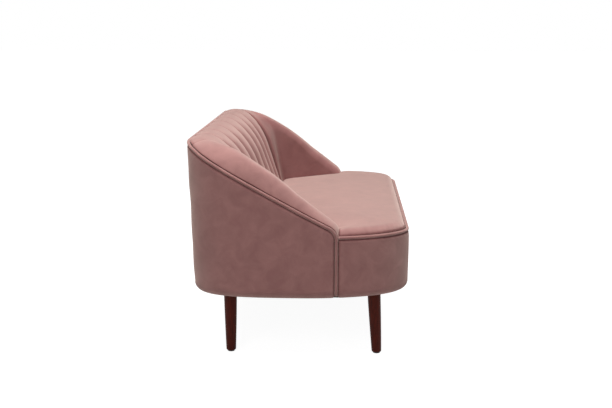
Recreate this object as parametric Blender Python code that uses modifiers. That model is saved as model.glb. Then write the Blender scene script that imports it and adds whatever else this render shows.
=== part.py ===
"""Two-seat retro sofa with a tub back, built from separate pieces as an upholsterer would build it.

Metres, +Z up. The front faces -Y and the floor is at Z 0. Left is -X, as seen from the front.
A timber frame stands on turned legs. Webbing, foam and padded covers go over it, with piping in the seams.
"""

import math
from collections import namedtuple

import bmesh
import bpy
from mathutils import Matrix

# Overall sizes
WIDTH = 1.327
DEPTH = 0.770
HEIGHT = 0.757
LEG_HEIGHT = 0.229
SEAT_EDGE_HEIGHT = 0.437

# Plan of the body: straight front and back between rounded ends
END_REACH = 0.183
FRONT_ROUNDNESS_EXPONENT = 2.1
BACK_ROUNDNESS_EXPONENT = 3.2
BACK_FLARE = 0.017
SEAT_PROJECTION = 0.2435

# Line of the piping along the arm and back
BACK_PIPING_DROP = 0.015
ARM_PIPING_HEIGHT = 0.453
PIPING_LEVEL_REACH = 0.0850
ARM_CORNER_RADIUS = 0.080
PIPING_SHOULDER = 0.030

# Crest of the padded arms and back
ARM_CREST_HEIGHT = 0.495
CREST_LEVEL_REACH = 0.2342
ARM_NOSE_RADIUS = 0.020
CREST_SHOULDER = 0.100
CREST_INSET = 0.048
ROLL_WIDTH_ARM = 0.020
ROLL_WIDTH_BACK = 0.092
ROLL_HEIGHT = 0.150
ARM_RAKE_DEGREES = 9.0903
BACK_RAKE_DEGREES = 18.263
CORNER_SOFTNESS = 0.060
PAD_TUCK_SHARE = 0.822

# Covers and piping
PIPING_DIAMETER = 0.011
PIPING_INSET = 0.001
COVER = 0.008
HEM_WIDTH = 0.034
HEM_THICKNESS = 0.003
HEM_RADIUS = 0.018
BORDER_BULGE = 0.003
INNER_COVER = 0.006
CHANNELS = 8
CHANNEL_COVER = 0.022
CHANNEL_DEPTH = 0.014
CHANNEL_FADE_SHARE = 0.3
BACK_SEAM_REACH = 0.100
SEAT_COVER = 0.006
SEAT_CROWN = 0.026
CROWN_MIDDLE_SHARE = 0.47
DUST_COVER = 0.0015
DUST_COVER_INSET = 0.020

# Timber frame
FRAME_THICKNESS = 0.028
RAIL_HEIGHT = 0.096
RAIL_EASE = 0.012
TOP_RAIL_HEIGHT = 0.050
FRAME_DROP = 0.030
POST_WIDTH = 0.030
STILE_WIDTH = 0.045
STILE_INSET = 0.236
CENTRE_RAIL_DROP = 0.020
LEG_BLOCK_DEPTH = 0.110
LEG_BLOCK_HEIGHT = 0.060
LEG_BLOCK_HALF_SPAN = 0.060

# Webbing of the seat and the back
STRAP_WIDTH = 0.050
STRAP_THICKNESS = 0.002
SEAT_STRAPS = 5
SEAT_STRAP_INSET = 0.156
CROSS_STRAPS = 2
CROSS_STRAP_PITCH = 0.200
CROSS_STRAP_SETBACK = 0.087
BACK_STRAPS = 2
BACK_STRAP_PITCH = 0.130

# Turned legs and their fixings
LEG_TOP_DIAMETER = 0.046
LEG_FOOT_DIAMETER = 0.034
LEG_FOOT_ROUND = 0.003
FRONT_LEG_LEAN_DEGREES = 3.0
FRONT_LEG_SETBACK = 0.1185
BACK_LEG_SETBACK = 0.1425
FRONT_LEG_INSET = 0.078
BACK_LEG_INSET = 0.100
GLIDE_DIAMETER = 0.024
GLIDE_THICKNESS = 0.004
BOLT_DIAMETER = 0.008
BOLT_IN_LEG = 0.034
PLATE_DIAMETER = 0.060
PLATE_THICKNESS = 0.0025
HUB_DIAMETER = 0.014
HUB_LENGTH = 0.014
DUST_HOLE_DIAMETER = 0.080

# Clearances
GAP = 0.0004
PIPING_CLEARANCE = 0.0005
SEAT_CLEARANCE = 0.0040
FILLING_CLEARANCE = 0.0040
SECTION_SLANT_RATIO = 1.2
BACK_SEAM_GAP = 0.0010
BORE_CLEARANCE = 0.0004
FLAT_ENOUGH = 0.00001
LEVEL_ENOUGH = 0.0001

# Values that follow from the sizes above
PIPE_R = PIPING_DIAMETER / 2
PIPE_PROUD = PIPE_R - PIPING_INSET
PIPE_ROOM = PIPE_R + PIPING_CLEARANCE
PAD_EDGE_INSET = PIPING_INSET + PIPE_ROOM
HALF_WIDTH = WIDTH / 2 - PIPE_PROUD
STRAIGHT_HALF = HALF_WIDTH - END_REACH
STILE_X = STRAIGHT_HALF - STILE_INSET
FRONT_HALF = DEPTH / 2 - PIPE_PROUD
BACK_HALF = DEPTH / 2 - PIPE_PROUD
ARM_FRONT_Y = SEAT_PROJECTION - FRONT_HALF
FRONT_LEG_Y = FRONT_LEG_SETBACK - FRONT_HALF
BACK_LEG_Y = BACK_HALF - BACK_LEG_SETBACK
BACK_PIPING_HEIGHT = HEIGHT - BACK_PIPING_DROP
ARM_RAKE = math.tan(math.radians(ARM_RAKE_DEGREES))
BACK_RAKE = math.tan(math.radians(BACK_RAKE_DEGREES))
FRAME_OUT = COVER + GAP
FRAME_IN = FRAME_OUT + FRAME_THICKNESS
FRAME_BOTTOM = LEG_HEIGHT + HEM_THICKNESS + GAP
RAIL_TOP = FRAME_BOTTOM + RAIL_HEIGHT
STRAP_LIFT = STRAP_THICKNESS + GAP
STRAP_BOTTOM = RAIL_TOP + GAP
FOAM_BOTTOM = STRAP_BOTTOM + STRAP_LIFT + STRAP_THICKNESS + GAP
PAD_BOTTOM = SEAT_EDGE_HEIGHT - PAD_TUCK_SHARE * (SEAT_EDGE_HEIGHT - FOAM_BOTTOM)
PAD_BACK = SECTION_SLANT_RATIO * (FRAME_IN + GAP + STRAP_THICKNESS + GAP)
SEAT_SIDE_TOP = SEAT_EDGE_HEIGHT + PIPE_ROOM

Outline = namedtuple("Outline", "half_width straight front back")
Station = namedtuple("Station", "part side value run")
SIDES = ((-1, "left"), (1, "right"))


# Scene and materials

for old in list(bpy.data.objects):
    bpy.data.objects.remove(old)

sofa = bpy.data.collections.new("retro_sofa")
cutters = bpy.data.collections.new("cutters")
bpy.context.scene.collection.children.link(sofa)
bpy.context.scene.collection.children.link(cutters)


def material(name, colour, roughness, metallic=0.0):
    made = bpy.data.materials.new(name)
    made.use_nodes = True
    shader = made.node_tree.nodes["Principled BSDF"]
    shader.inputs["Base Color"].default_value = (*colour, 1.0)
    shader.inputs["Roughness"].default_value = roughness
    shader.inputs["Metallic"].default_value = metallic
    return made


VELVET = material("dusty_pink_velvet", (0.31, 0.155, 0.145), 0.85)
STAINED = material("dark_stained_beech", (0.045, 0.014, 0.011), 0.35)
TIMBER = material("pine_frame", (0.58, 0.42, 0.25), 0.7)
FOAM = material("upholstery_foam", (0.80, 0.72, 0.52), 0.95)
WEBBING = material("elastic_webbing", (0.10, 0.09, 0.08), 0.9)
LINING = material("black_dust_cloth", (0.02, 0.02, 0.02), 0.95)
STEEL = material("zinc_plated_steel", (0.62, 0.62, 0.60), 0.35, 1.0)
NYLON = material("black_nylon", (0.03, 0.03, 0.03), 0.5)


def place(obj, finish, smooth_degrees=35):
    """Puts a mesh object in the sofa's collection with its material and smooth round faces."""
    sofa.objects.link(obj)
    obj.data.materials.append(finish)
    if obj.type == "MESH":
        obj.data.shade_smooth()
        obj.data.set_sharp_from_angle(angle=math.radians(smooth_degrees))
    return obj


def mesh_object(name, bm, finish):
    if bm.calc_volume(signed=True) < 0:
        bmesh.ops.reverse_faces(bm, faces=bm.faces)
    mesh = bpy.data.meshes.new(name)
    bm.to_mesh(mesh)
    bm.free()
    return place(bpy.data.objects.new(name, mesh), finish)


def skin_face(bm, a, b, c, d):
    """A flat four-sided face, or two triangles that meet on the shorter diagonal of a twisted one."""
    normal = (c.co - a.co).cross(d.co - b.co).normalized()
    if abs(normal.dot(b.co - a.co)) < FLAT_ENOUGH:
        bm.faces.new((a, b, c, d))
    elif (c.co - a.co).length <= (d.co - b.co).length:
        bm.faces.new((a, b, c))
        bm.faces.new((a, c, d))
    else:
        bm.faces.new((a, b, d))
        bm.faces.new((b, c, d))


def loft(name, rings, finish):
    """A closed solid through rings of points that match one to one, with flat ends."""
    bm = bmesh.new()
    rows = [[bm.verts.new(point) for point in ring] for ring in rings]
    count = len(rows[0])
    for low, high in zip(rows, rows[1:]):
        for i in range(count):
            j = (i + 1) % count
            skin_face(bm, low[i], low[j], high[j], high[i])
    bm.faces.new(rows[0][::-1])
    bm.faces.new(rows[-1])
    return mesh_object(name, bm, finish)


def box(name, low, high, finish):
    """A squared timber, from its lowest to its highest corner."""
    bm = bmesh.new()
    bmesh.ops.create_cube(bm, size=1.0)
    for vert in bm.verts:
        for axis in range(3):
            middle = (low[axis] + high[axis]) / 2
            vert.co[axis] = middle + vert.co[axis] * (high[axis] - low[axis])
    return mesh_object(name, bm, finish)


# Plan outlines and the stations along them

def back_half_at(z):
    """The back leans out as it rises, from its foot to its piping."""
    below = (BACK_PIPING_HEIGHT - z) / (BACK_PIPING_HEIGHT - LEG_HEIGHT)
    return BACK_HALF - BACK_FLARE * below


def body_outline(inset, z):
    """The body's plan at a height, taken in by an inset all round."""
    return Outline(HALF_WIDTH - inset, STRAIGHT_HALF, FRONT_HALF - inset, back_half_at(z) - inset)


def superellipse(ratio, power):
    return (1 - min(abs(ratio), 1.0) ** power) ** (1 / power)


def plan_point(station, outline):
    """Where a station lies on an outline."""
    reach = outline.half_width - outline.straight
    if station.part == "back":
        return station.value * outline.straight, outline.back
    if station.part == "front":
        return station.value * outline.straight, -outline.front
    if station.part == "corner":
        power = 2 / BACK_ROUNDNESS_EXPONENT
        x = outline.straight + reach * math.cos(station.value) ** power
        return station.side * x, outline.back * math.sin(station.value) ** power
    y = station.value
    if station.part == "cap":
        y = ARM_FRONT_Y - (outline.front + ARM_FRONT_Y) * station.value
    x = outline.straight + reach * superellipse(y / outline.front, FRONT_ROUNDNESS_EXPONENT)
    return station.side * x, y


def point(station, outline, z):
    return (*plan_point(station, outline), z)


def corner_table(steps=240):
    """Angles round a back corner of the body, with the length along it from its widest point."""
    power = 2 / BACK_ROUNDNESS_EXPONENT
    reach = HALF_WIDTH - STRAIGHT_HALF
    angles = [math.pi / 2 * i / steps for i in range(steps + 1)]
    spots = [(reach * math.cos(a) ** power, BACK_HALF * math.sin(a) ** power) for a in angles]
    lengths = [0.0]
    for here, there in zip(spots, spots[1:]):
        lengths.append(lengths[-1] + math.dist(here, there))
    return angles, lengths


CORNER_ANGLES, CORNER_LENGTHS = corner_table()
CORNER_LENGTH = CORNER_LENGTHS[-1]
CORNER_STEPS = 12
CORNER_END_RUN = -ARM_FRONT_Y + CORNER_LENGTH
WALL_RUN = CORNER_END_RUN + STRAIGHT_HALF
PIPING_RISE = BACK_PIPING_HEIGHT - ARM_PIPING_HEIGHT
ARM_PIPING_SLOPE = PIPING_RISE / (CORNER_END_RUN - PIPING_LEVEL_REACH)
ARM_CREST_SLOPE = (HEIGHT - ARM_CREST_HEIGHT) / (CORNER_END_RUN - CREST_LEVEL_REACH)


def corner_station(side, length):
    """A place on a back corner, by its length from the widest point of the side."""
    i = next(i for i, reached in enumerate(CORNER_LENGTHS) if reached >= length)
    before = max(i - 1, 0)
    step = CORNER_LENGTHS[i] - CORNER_LENGTHS[before]
    share = (length - CORNER_LENGTHS[before]) / step if step else 0.0
    angle = CORNER_ANGLES[before] + (CORNER_ANGLES[i] - CORNER_ANGLES[before]) * share
    return Station("corner", side, angle, -ARM_FRONT_Y + length)


def side_station(side, run):
    return Station("side", side, ARM_FRONT_Y + run, run)


def side_stations(side, first_run, steps=6):
    """From a run behind the arm's front to the widest point of the side."""
    length = -ARM_FRONT_Y - first_run
    return [side_station(side, first_run + length * i / steps) for i in range(steps)]


def corner_stations(side):
    """Round the back corner, from the widest point to the straight back."""
    start = -ARM_FRONT_Y
    stations = [Station("side", side, 0.0, start)]
    stations += [corner_station(side, CORNER_LENGTH * k / CORNER_STEPS) for k in range(1, CORNER_STEPS)]
    stations.append(Station("back", side, side * 1.0, start + CORNER_LENGTH))
    return stations


def back_station(share):
    run = CORNER_END_RUN + (1 - abs(share)) * STRAIGHT_HALF
    return Station("back", 0, share, run)


def wall_station(distance):
    """A place on the straight back or its corners, by its distance from the middle of the back."""
    if abs(distance) <= STRAIGHT_HALF:
        return back_station(distance / STRAIGHT_HALF)
    side = math.copysign(1, distance)
    return corner_station(side, CORNER_LENGTH - (abs(distance) - STRAIGHT_HALF))


def station_at(side, y, outline):
    """The place at a given Y on one side of an outline."""
    if y <= 0:
        return Station("side", side, y, y - ARM_FRONT_Y)
    angle = math.asin((y / outline.back) ** (BACK_ROUNDNESS_EXPONENT / 2))
    return Station("corner", side, angle, y - ARM_FRONT_Y)


def cap_stations(side, steps=9):
    """From the arm's front round the front corner to the straight front."""
    shares = [math.sin(math.pi / 2 * i / steps) for i in range(steps + 1)]
    return [Station("cap", side, share, 0.0) for share in shares]


def arm_stations(side, first_run, nose_steps=5):
    """From the arm's front to the end of its corner, at even turns round the rounded nose."""
    whole_turn = math.pi / 2 - math.atan(ARM_PIPING_SLOPE)
    radius = max(ARM_CORNER_RADIUS - first_run, 0.0)
    turns = [whole_turn * i / nose_steps for i in range(nose_steps + 1)]
    runs = [first_run + radius * (1 - math.cos(turn)) for turn in turns]
    nose = runs.pop()
    return [side_station(side, run) for run in runs] + side_stations(side, nose, 3) + corner_stations(side)


# Heights along the arm and back

def smooth_min(a, b, width):
    if width <= 0:
        return min(a, b)
    near = max(width - abs(a - b), 0.0) / width
    return min(a, b) - near * near * width / 4


def smooth_max(a, b, width):
    return -smooth_min(-a, -b, width)


def rounded_start(run, radius):
    """How far a line lies below itself where a radius turns it down to vertical at run 0."""
    if radius <= 0 or run >= radius:
        return 0.0
    x = min((radius - run) / radius, 1.0)
    return radius * (1 - math.sqrt(1 - x * x))


def piping_height(run, below=0.0):
    """Height of the piping line, or of a line parallel to it and that far below.

    It rises from the arm's front round a true arc, then along the slope of the arm to the level back.
    """
    slant = math.sqrt(1 + ARM_PIPING_SLOPE ** 2)
    arm = ARM_PIPING_HEIGHT + ARM_PIPING_SLOPE * run - below * slant
    radius = max(ARM_CORNER_RADIUS - below, 0.0)
    ahead = ARM_CORNER_RADIUS - run
    if ahead > radius * ARM_PIPING_SLOPE / slant:
        centre = ARM_PIPING_HEIGHT + ARM_CORNER_RADIUS * (ARM_PIPING_SLOPE - slant)
        arm = min(arm, centre + math.sqrt(max(radius ** 2 - ahead ** 2, 0.0)))
    return smooth_min(BACK_PIPING_HEIGHT - below, arm, PIPING_SHOULDER)


def crest_height(run):
    arm = ARM_CREST_HEIGHT + ARM_CREST_SLOPE * run
    return smooth_min(HEIGHT, arm, CREST_SHOULDER) - rounded_start(run, ARM_NOSE_RADIUS)


# Padded walls: a section of the arm or back, from its piping over the crest to its tuck

TOP_STEPS = 4
ROLL_STEPS = 4


def inward(station):
    """The level direction in which a station's section runs: square to the arms and to the middle
    of the back, and turning between them."""
    if station.part == "side":
        return -station.side, 0.0
    share = (WALL_RUN - station.run) / (WALL_RUN + ARM_FRONT_Y)
    turn = math.pi / 2 * share * share
    side = math.copysign(1, station.side or station.value)
    return -side * math.sin(turn), -math.cos(turn)


def wall_point(station, depth, z):
    """A point at a depth into the wall, along its station's section."""
    x, y = plan_point(station, body_outline(0.0, z))
    dx, dy = inward(station)
    return x + dx * depth, y + dy * depth, z


def face_depth(station, inset, across, z):
    """How deep the padded surface lies on the inner side of the crest.

    Across is how far it has come over the roll, from 0 to 1. Below the crest the arm and the back rake in,
    and where these two faces meet, the corner is soft.
    """
    down = crest_height(station.run) - z
    arm = inset + ROLL_WIDTH_ARM * across + ARM_RAKE * down
    back = inset + ROLL_WIDTH_BACK * across + BACK_RAKE * down
    x, y = plan_point(station, body_outline(0.0, z))
    dx, dy = inward(station)
    depth = inset + ROLL_WIDTH_ARM * across
    if abs(dx) > LEVEL_ENOUGH:
        depth = smooth_max(depth, (abs(x) - HALF_WIDTH + arm) / abs(dx), CORNER_SOFTNESS * across)
    if abs(dy) > LEVEL_ENOUGH:
        depth = smooth_max(depth, (y - back_half_at(z) + back) / abs(dy), CORNER_SOFTNESS * across)
    return depth


def roll_height(run):
    """How far below the crest the roll ends: less where the arm is lower."""
    return ROLL_HEIGHT * (crest_height(run) - PAD_BOTTOM) / (HEIGHT - PAD_BOTTOM)


def face_levels(run):
    """Heights of the points on the straight part of the inner face, from the roll to the tuck."""
    low = crest_height(run) - roll_height(run)
    seat = min(SEAT_SIDE_TOP, (low + PAD_BOTTOM) / 2)
    return [low, (low + seat) / 2, seat, PAD_BOTTOM]


def face_depth_at(station, z):
    """Depth of the padded surface at a height on its inner face, between the points that shape it."""
    levels = face_levels(station.run)
    depths = [face_depth(station, CREST_INSET, 1.0, level) for level in levels]
    for i in range(len(levels) - 1):
        if z >= levels[i + 1]:
            share = max((levels[i] - z) / (levels[i] - levels[i + 1]), 0.0)
            return depths[i] + (depths[i + 1] - depths[i]) * share
    return depths[-1]


def pad_surface(station, skin=0.0, seam=0.0):
    """Points of the padded wall's surface at a station, from its edge at the piping to its tuck.

    A skin takes the whole surface down, and a seam does too, but fades out towards the piping.
    """
    run = station.run
    edge = piping_height(run, -PIPE_ROOM)
    crest = crest_height(run)
    roll = roll_height(run)
    points = []
    for i in range(TOP_STEPS):
        turn = math.pi / 2 * i / TOP_STEPS
        sunk = skin + seam * (CHANNEL_FADE_SHARE + (1 - CHANNEL_FADE_SHARE) * i / TOP_STEPS)
        inset = PAD_EDGE_INSET + sunk + (CREST_INSET - PAD_EDGE_INSET - sunk) * (1 - math.cos(turn))
        z = edge + (crest - edge) * math.sin(turn) - sunk
        points.append(wall_point(station, inset, z))
    sunk = skin + seam
    for i in range(ROLL_STEPS + 1):
        turn = math.pi / 2 * i / ROLL_STEPS
        z = crest - roll * (1 - math.cos(turn)) - sunk * math.cos(turn)
        inset = CREST_INSET - sunk * math.sin(turn)
        points.append(wall_point(station, face_depth(station, inset, math.sin(turn), z), z))
    for z in face_levels(run)[1:]:
        points.append(wall_point(station, face_depth(station, CREST_INSET - sunk, 1.0, z), z))
    return points


def cover_ring(station, inner_skin, seam=0.0):
    """Section of a cover: its surface and its underside."""
    return pad_surface(station, 0.0, seam) + pad_surface(station, inner_skin)[::-1]


def filling_ring(station, skin):
    """Section of the foam under a cover, seated on the frame and its webbing."""
    over_frame = piping_height(station.run, FRAME_DROP) + FILLING_CLEARANCE
    seat_on = ((PAD_BACK, PAD_BOTTOM), (PAD_BACK, over_frame), (PAD_EDGE_INSET + skin, over_frame))
    return pad_surface(station, skin) + [wall_point(station, depth, z) for depth, z in seat_on]


def pad_stations(side):
    """From behind the arm's facing to the seam where the channelled back begins."""
    seam_run = CORNER_END_RUN - BACK_SEAM_REACH - BACK_SEAM_GAP
    stations = [s for s in arm_stations(side, PIPE_ROOM) if s.run < seam_run - BACK_SEAM_GAP]
    return stations + [corner_station(side, seam_run + ARM_FRONT_Y)]


def make_arm_pads(side, name):
    facing = [side_station(side, run) for run in (0.0, PIPE_ROOM - GAP)]
    loft(f"{name}_arm_facing", [filling_ring(s, 0.0) for s in facing], VELVET)
    stations = pad_stations(side)
    rings = [filling_ring(s, INNER_COVER + GAP) for s in stations]
    loft(f"{name}_arm_foam", rings, FOAM)
    rings = [cover_ring(s, INNER_COVER) for s in stations]
    loft(f"{name}_inside_arm_cover", rings, VELVET)


def channel_seam(phase):
    """How far the channelled cover lies below its crowns: deepest in the sewn seams."""
    return CHANNEL_DEPTH * (1 - math.sqrt(abs(math.sin(math.pi * phase))))


def make_back_pad():
    half = STRAIGHT_HALF + BACK_SEAM_REACH
    phases = (0.0, 0.06, 0.22, 0.5, 0.78, 0.94)
    spots = [i + phase for i in range(CHANNELS) for phase in phases] + [float(CHANNELS)]
    stations = [wall_station(half * (2 * spot / CHANNELS - 1)) for spot in spots]
    rings = [cover_ring(s, CHANNEL_COVER, channel_seam(spot)) for s, spot in zip(stations, spots)]
    loft("inside_back_channel_cover", rings, VELVET)
    rings = [filling_ring(s, CHANNEL_COVER + GAP) for s in stations]
    loft("back_foam", rings, FOAM)


# Outside covers with hems turned under the frame, and the dust cover

def outside_ring(station, top, bulge=0.0):
    middle = (top + LEG_HEIGHT) / 2
    curl = HEM_RADIUS * (1 - math.sqrt(0.5))
    section = [
        (0.0, top),
        (-bulge, middle),
        (0.0, LEG_HEIGHT + HEM_RADIUS),
        (curl, LEG_HEIGHT + curl),
        (HEM_RADIUS, LEG_HEIGHT),
        (HEM_WIDTH, LEG_HEIGHT),
        (HEM_WIDTH, LEG_HEIGHT + HEM_THICKNESS),
        (HEM_RADIUS, LEG_HEIGHT + HEM_THICKNESS),
        (curl + COVER / 2, LEG_HEIGHT + curl + COVER / 2),
        (COVER, LEG_HEIGHT + HEM_RADIUS - COVER / 2),
        (COVER, middle),
        (COVER, top),
    ]
    return [point(station, body_outline(inset, z), z) for inset, z in section]


def make_outside_covers():
    for side, name in SIDES:
        stations = arm_stations(side, PIPE_ROOM)
        rings = [outside_ring(s, piping_height(s.run, PIPE_ROOM)) for s in stations]
        loft(f"{name}_outside_arm_cover", rings, VELVET)
    end = 1 - GAP / STRAIGHT_HALF
    top = BACK_PIPING_HEIGHT - PIPE_ROOM
    loft("outside_back_cover", [outside_ring(back_station(t), top) for t in (-end, end)], VELVET)
    seam = [Station("side", side, ARM_FRONT_Y - PIPE_ROOM, 0.0) for side in (-1, 1)]
    stations = [seam[0]] + cap_stations(-1)[1:] + cap_stations(1)[:0:-1] + [seam[1]]
    border_top = SEAT_EDGE_HEIGHT - PIPE_ROOM
    loft("front_border_cover", [outside_ring(s, border_top, BORDER_BULGE) for s in stations], VELVET)


def closed_plan(outline):
    """The whole outline once round, front first."""
    stations = cap_stations(1)[::-1] + side_stations(1, 0.0)[1:] + corner_stations(1)
    stations += corner_stations(-1)[::-1] + side_stations(-1, 0.0)[:0:-1] + cap_stations(-1)
    return [plan_point(s, outline) for s in stations]


def circle(centre, diameter, count=20):
    turns = [2 * math.pi * i / count for i in range(count)]
    return [(centre[0] + diameter / 2 * math.cos(t), centre[1] + diameter / 2 * math.sin(t)) for t in turns]


def flat_panel(name, outlines, low, high, finish):
    """A flat sheet cut to an outline, with holes where further outlines lie inside it."""
    curve = bpy.data.curves.new(name, "CURVE")
    curve.dimensions = "2D"
    curve.fill_mode = "BOTH"
    curve.extrude = (high - low) / 2
    for spots in outlines:
        spline = curve.splines.new("POLY")
        spline.points.add(len(spots) - 1)
        for spline_point, (x, y) in zip(spline.points, spots):
            spline_point.co = (x, y, 0.0, 1.0)
        spline.use_cyclic_u = True
    obj = bpy.data.objects.new(name, curve)
    obj.location.z = (low + high) / 2
    return place(obj, finish)


# Piping: cords sewn into the seams

def piping(name, spots, finish):
    curve = bpy.data.curves.new(name, "CURVE")
    curve.dimensions = "3D"
    curve.bevel_depth = PIPE_R
    curve.bevel_resolution = 1
    curve.use_fill_caps = True
    spline = curve.splines.new("POLY")
    spline.points.add(len(spots) - 1)
    for spline_point, spot in zip(spline.points, spots):
        spline_point.co = (*spot, 1.0)
    return place(bpy.data.objects.new(name, curve), finish)


def piping_points(station):
    z = piping_height(station.run)
    return point(station, body_outline(PIPING_INSET, z), z)


def make_piping():
    half = {}
    for side, _ in SIDES:
        foot = side_station(side, 0.0)
        curl = HEM_RADIUS * (1 - math.sqrt(0.5)) + PIPING_INSET
        turned_under = (
            (curl, LEG_HEIGHT + curl),
            (PIPING_INSET, LEG_HEIGHT + HEM_RADIUS),
        )
        spots = [point(foot, body_outline(inset, z), z) for inset, z in turned_under]
        half[side] = spots + [piping_points(s) for s in arm_stations(side, 0.0)]
    piping("arm_and_back_piping", half[-1] + half[1][::-1], VELVET)
    start = 2 * PIPE_ROOM
    first = [Station("side", side, ARM_FRONT_Y - start, 0.0) for side in (-1, 1)]
    stations = [first[0]] + cap_stations(-1)[2:] + cap_stations(1)[:1:-1] + [first[1]]
    outline = body_outline(PIPING_INSET, SEAT_EDGE_HEIGHT)
    piping("seat_piping", [point(s, outline, SEAT_EDGE_HEIGHT) for s in stations], VELVET)


# Seat: a foam block that fills the tub and wings out in front of the arms, and its crowned cover

def seat_plan(z, inset):
    """The seat's plan at a height: the body's front, then the inner faces of the arms and back."""
    face_z = max(z, PAD_BOTTOM)
    front = body_outline(inset, z)
    plan = [plan_point(s, front) for s in cap_stations(1)[:0:-1]]
    wing = Station("side", 1, ARM_FRONT_Y - PIPE_ROOM, 0.0)
    plan.append(plan_point(wing, front))
    inside = [side_station(1, -PIPE_ROOM), side_station(1, 0.0)] + arm_stations(1, PIPE_ROOM)
    inside += [wall_station(STRAIGHT_HALF * share) for share in (0.75, 0.5, 0.25, 0.0)]
    for station in inside:
        at = station._replace(run=max(station.run, 0.0))
        depth = face_depth_at(at, face_z) + SEAT_CLEARANCE
        plan.append(wall_point(at, depth, face_z)[:2])
    return plan + [(-x, y) for x, y in plan[-2::-1]]


def crowned_ring(plan, share, z):
    """A plan drawn in towards the seat's middle."""
    middle_y = -FRONT_HALF * CROWN_MIDDLE_SHARE
    return [(x * share, middle_y + (y - middle_y) * share, z) for x, y in plan]


CROWN_STEPS = ((1.0, 0.0), (0.985, 0.32), (0.94, 0.66), (0.80, 0.90), (0.50, 1.0))


def make_seat():
    edge_in = COVER + GAP
    under = SEAT_SIDE_TOP - GAP
    rings = [[(x, y, z) for x, y in seat_plan(z, edge_in)] for z in (FOAM_BOTTOM, PAD_BOTTOM, under)]
    top = seat_plan(under, edge_in)
    rings += [crowned_ring(top, share, under + rise * SEAT_CROWN) for share, rise in CROWN_STEPS[1:]]
    loft("seat_foam", rings, FOAM)
    cover = seat_plan(SEAT_SIDE_TOP, PIPING_INSET)
    inner = [crowned_ring(top, share, SEAT_SIDE_TOP + rise * SEAT_CROWN) for share, rise in CROWN_STEPS]
    raised = SEAT_SIDE_TOP + SEAT_COVER
    outer = [crowned_ring(cover, share, raised + rise * SEAT_CROWN) for share, rise in CROWN_STEPS]
    lip = crowned_ring(cover, 1.0, SEAT_SIDE_TOP)
    loft("seat_cover", inner[::-1] + [lip] + outer, VELVET)


# Timber frame

def frame_ring(station, low, high, outer=FRAME_OUT, inner=FRAME_IN):
    """Section of a frame member between two heights and two insets."""
    corners = ((outer, low), (outer, high), (inner, high), (inner, low))
    return [point(station, body_outline(inset, z), z) for inset, z in corners]


def rail_ring(station):
    """Section of a seat rail, its lower outer edge eased for the cover to turn under."""
    corners = (
        (FRAME_OUT + RAIL_EASE, FRAME_BOTTOM),
        (FRAME_OUT, FRAME_BOTTOM + RAIL_EASE),
        (FRAME_OUT, RAIL_TOP),
        (FRAME_IN, RAIL_TOP),
        (FRAME_IN, FRAME_BOTTOM),
    )
    return [point(station, body_outline(inset, z), z) for inset, z in corners]


def make_rails():
    end = 1 - GAP / STRAIGHT_HALF
    ends = [Station("front", 0, share, 0.0) for share in (-end, end)]
    loft("front_seat_rail", [rail_ring(s) for s in ends], TIMBER)
    ends = [back_station(-end), back_station(end)]
    loft("back_seat_rail", [rail_ring(s) for s in ends], TIMBER)
    back_face = back_half_at(FRAME_BOTTOM) - FRAME_IN
    half = FRAME_THICKNESS / 2
    box(
        "centre_seat_rail",
        (-half, -FRONT_HALF + FRAME_IN + GAP, FRAME_BOTTOM),
        (half, back_face - GAP, RAIL_TOP - CENTRE_RAIL_DROP),
        TIMBER,
    )
    for side, name in SIDES:
        stations = cap_stations(side)[::-1] + side_stations(side, 0.0)[1:] + corner_stations(side)
        loft(f"{name}_seat_rail", [rail_ring(s) for s in stations], TIMBER)


def frame_top(run):
    return piping_height(run, FRAME_DROP)


def make_uprights():
    top_rail_low = frame_top(back_station(0.0).run) - TOP_RAIL_HEIGHT
    foot = RAIL_TOP + GAP
    for side, name in SIDES:
        first = FRAME_DROP + GAP
        last = first + POST_WIDTH
        posts = [side_station(side, run) for run in (first, last)]
        loft(f"{name}_arm_post", [frame_ring(s, foot, frame_top(s.run) - 2 * GAP) for s in posts], TIMBER)
        rail = [s for s in arm_stations(side, last + GAP, 2) if s.run > last]
        rings = [frame_ring(s, frame_top(s.run) - TOP_RAIL_HEIGHT, frame_top(s.run)) for s in rail]
        loft(f"{name}_arm_top_rail", rings, TIMBER)
        corner = corner_stations(side)
        middle = len(corner) // 2
        posts = corner[middle:middle + 3]
        rings = [frame_ring(s, foot, frame_top(s.run) - TOP_RAIL_HEIGHT - GAP) for s in posts]
        loft(f"{name}_back_post", rings, TIMBER)
        shares = [(side * STILE_X + x) / STRAIGHT_HALF for x in (-STILE_WIDTH / 2, STILE_WIDTH / 2)]
        rings = [frame_ring(back_station(t), foot, top_rail_low - GAP) for t in shares]
        loft(f"{name}_back_stile", rings, TIMBER)
    end = 1 - GAP / STRAIGHT_HALF
    ends = [back_station(-end), back_station(end)]
    high = top_rail_low + TOP_RAIL_HEIGHT
    loft("back_top_rail", [frame_ring(s, top_rail_low, high) for s in ends], TIMBER)


# Webbing: flat elastic straps

def strap(name, centres, across, finish):
    """A flat strap through its centre points, laid across the given direction."""
    rings = []
    for x, y, z in centres:
        dx, dy = (across[0] * STRAP_WIDTH / 2, across[1] * STRAP_WIDTH / 2)
        rings.append([
            (x - dx, y - dy, z),
            (x + dx, y + dy, z),
            (x + dx, y + dy, z + STRAP_THICKNESS),
            (x - dx, y - dy, z + STRAP_THICKNESS),
        ])
    return loft(name, rings, finish)


def woven(spots, start, end, first_up):
    """(distance, lift) along a strap that passes over and under the straps at these spots."""
    half = STRAP_WIDTH / 2 + 4 * STRAP_THICKNESS
    path = [(start, 0.0)]
    for k, spot in enumerate(spots):
        lift = STRAP_LIFT if (k + first_up) % 2 == 0 else 0.0
        path += [(spot - half, lift), (spot + half, lift)]
    return path + [(end, 0.0)]


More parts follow.
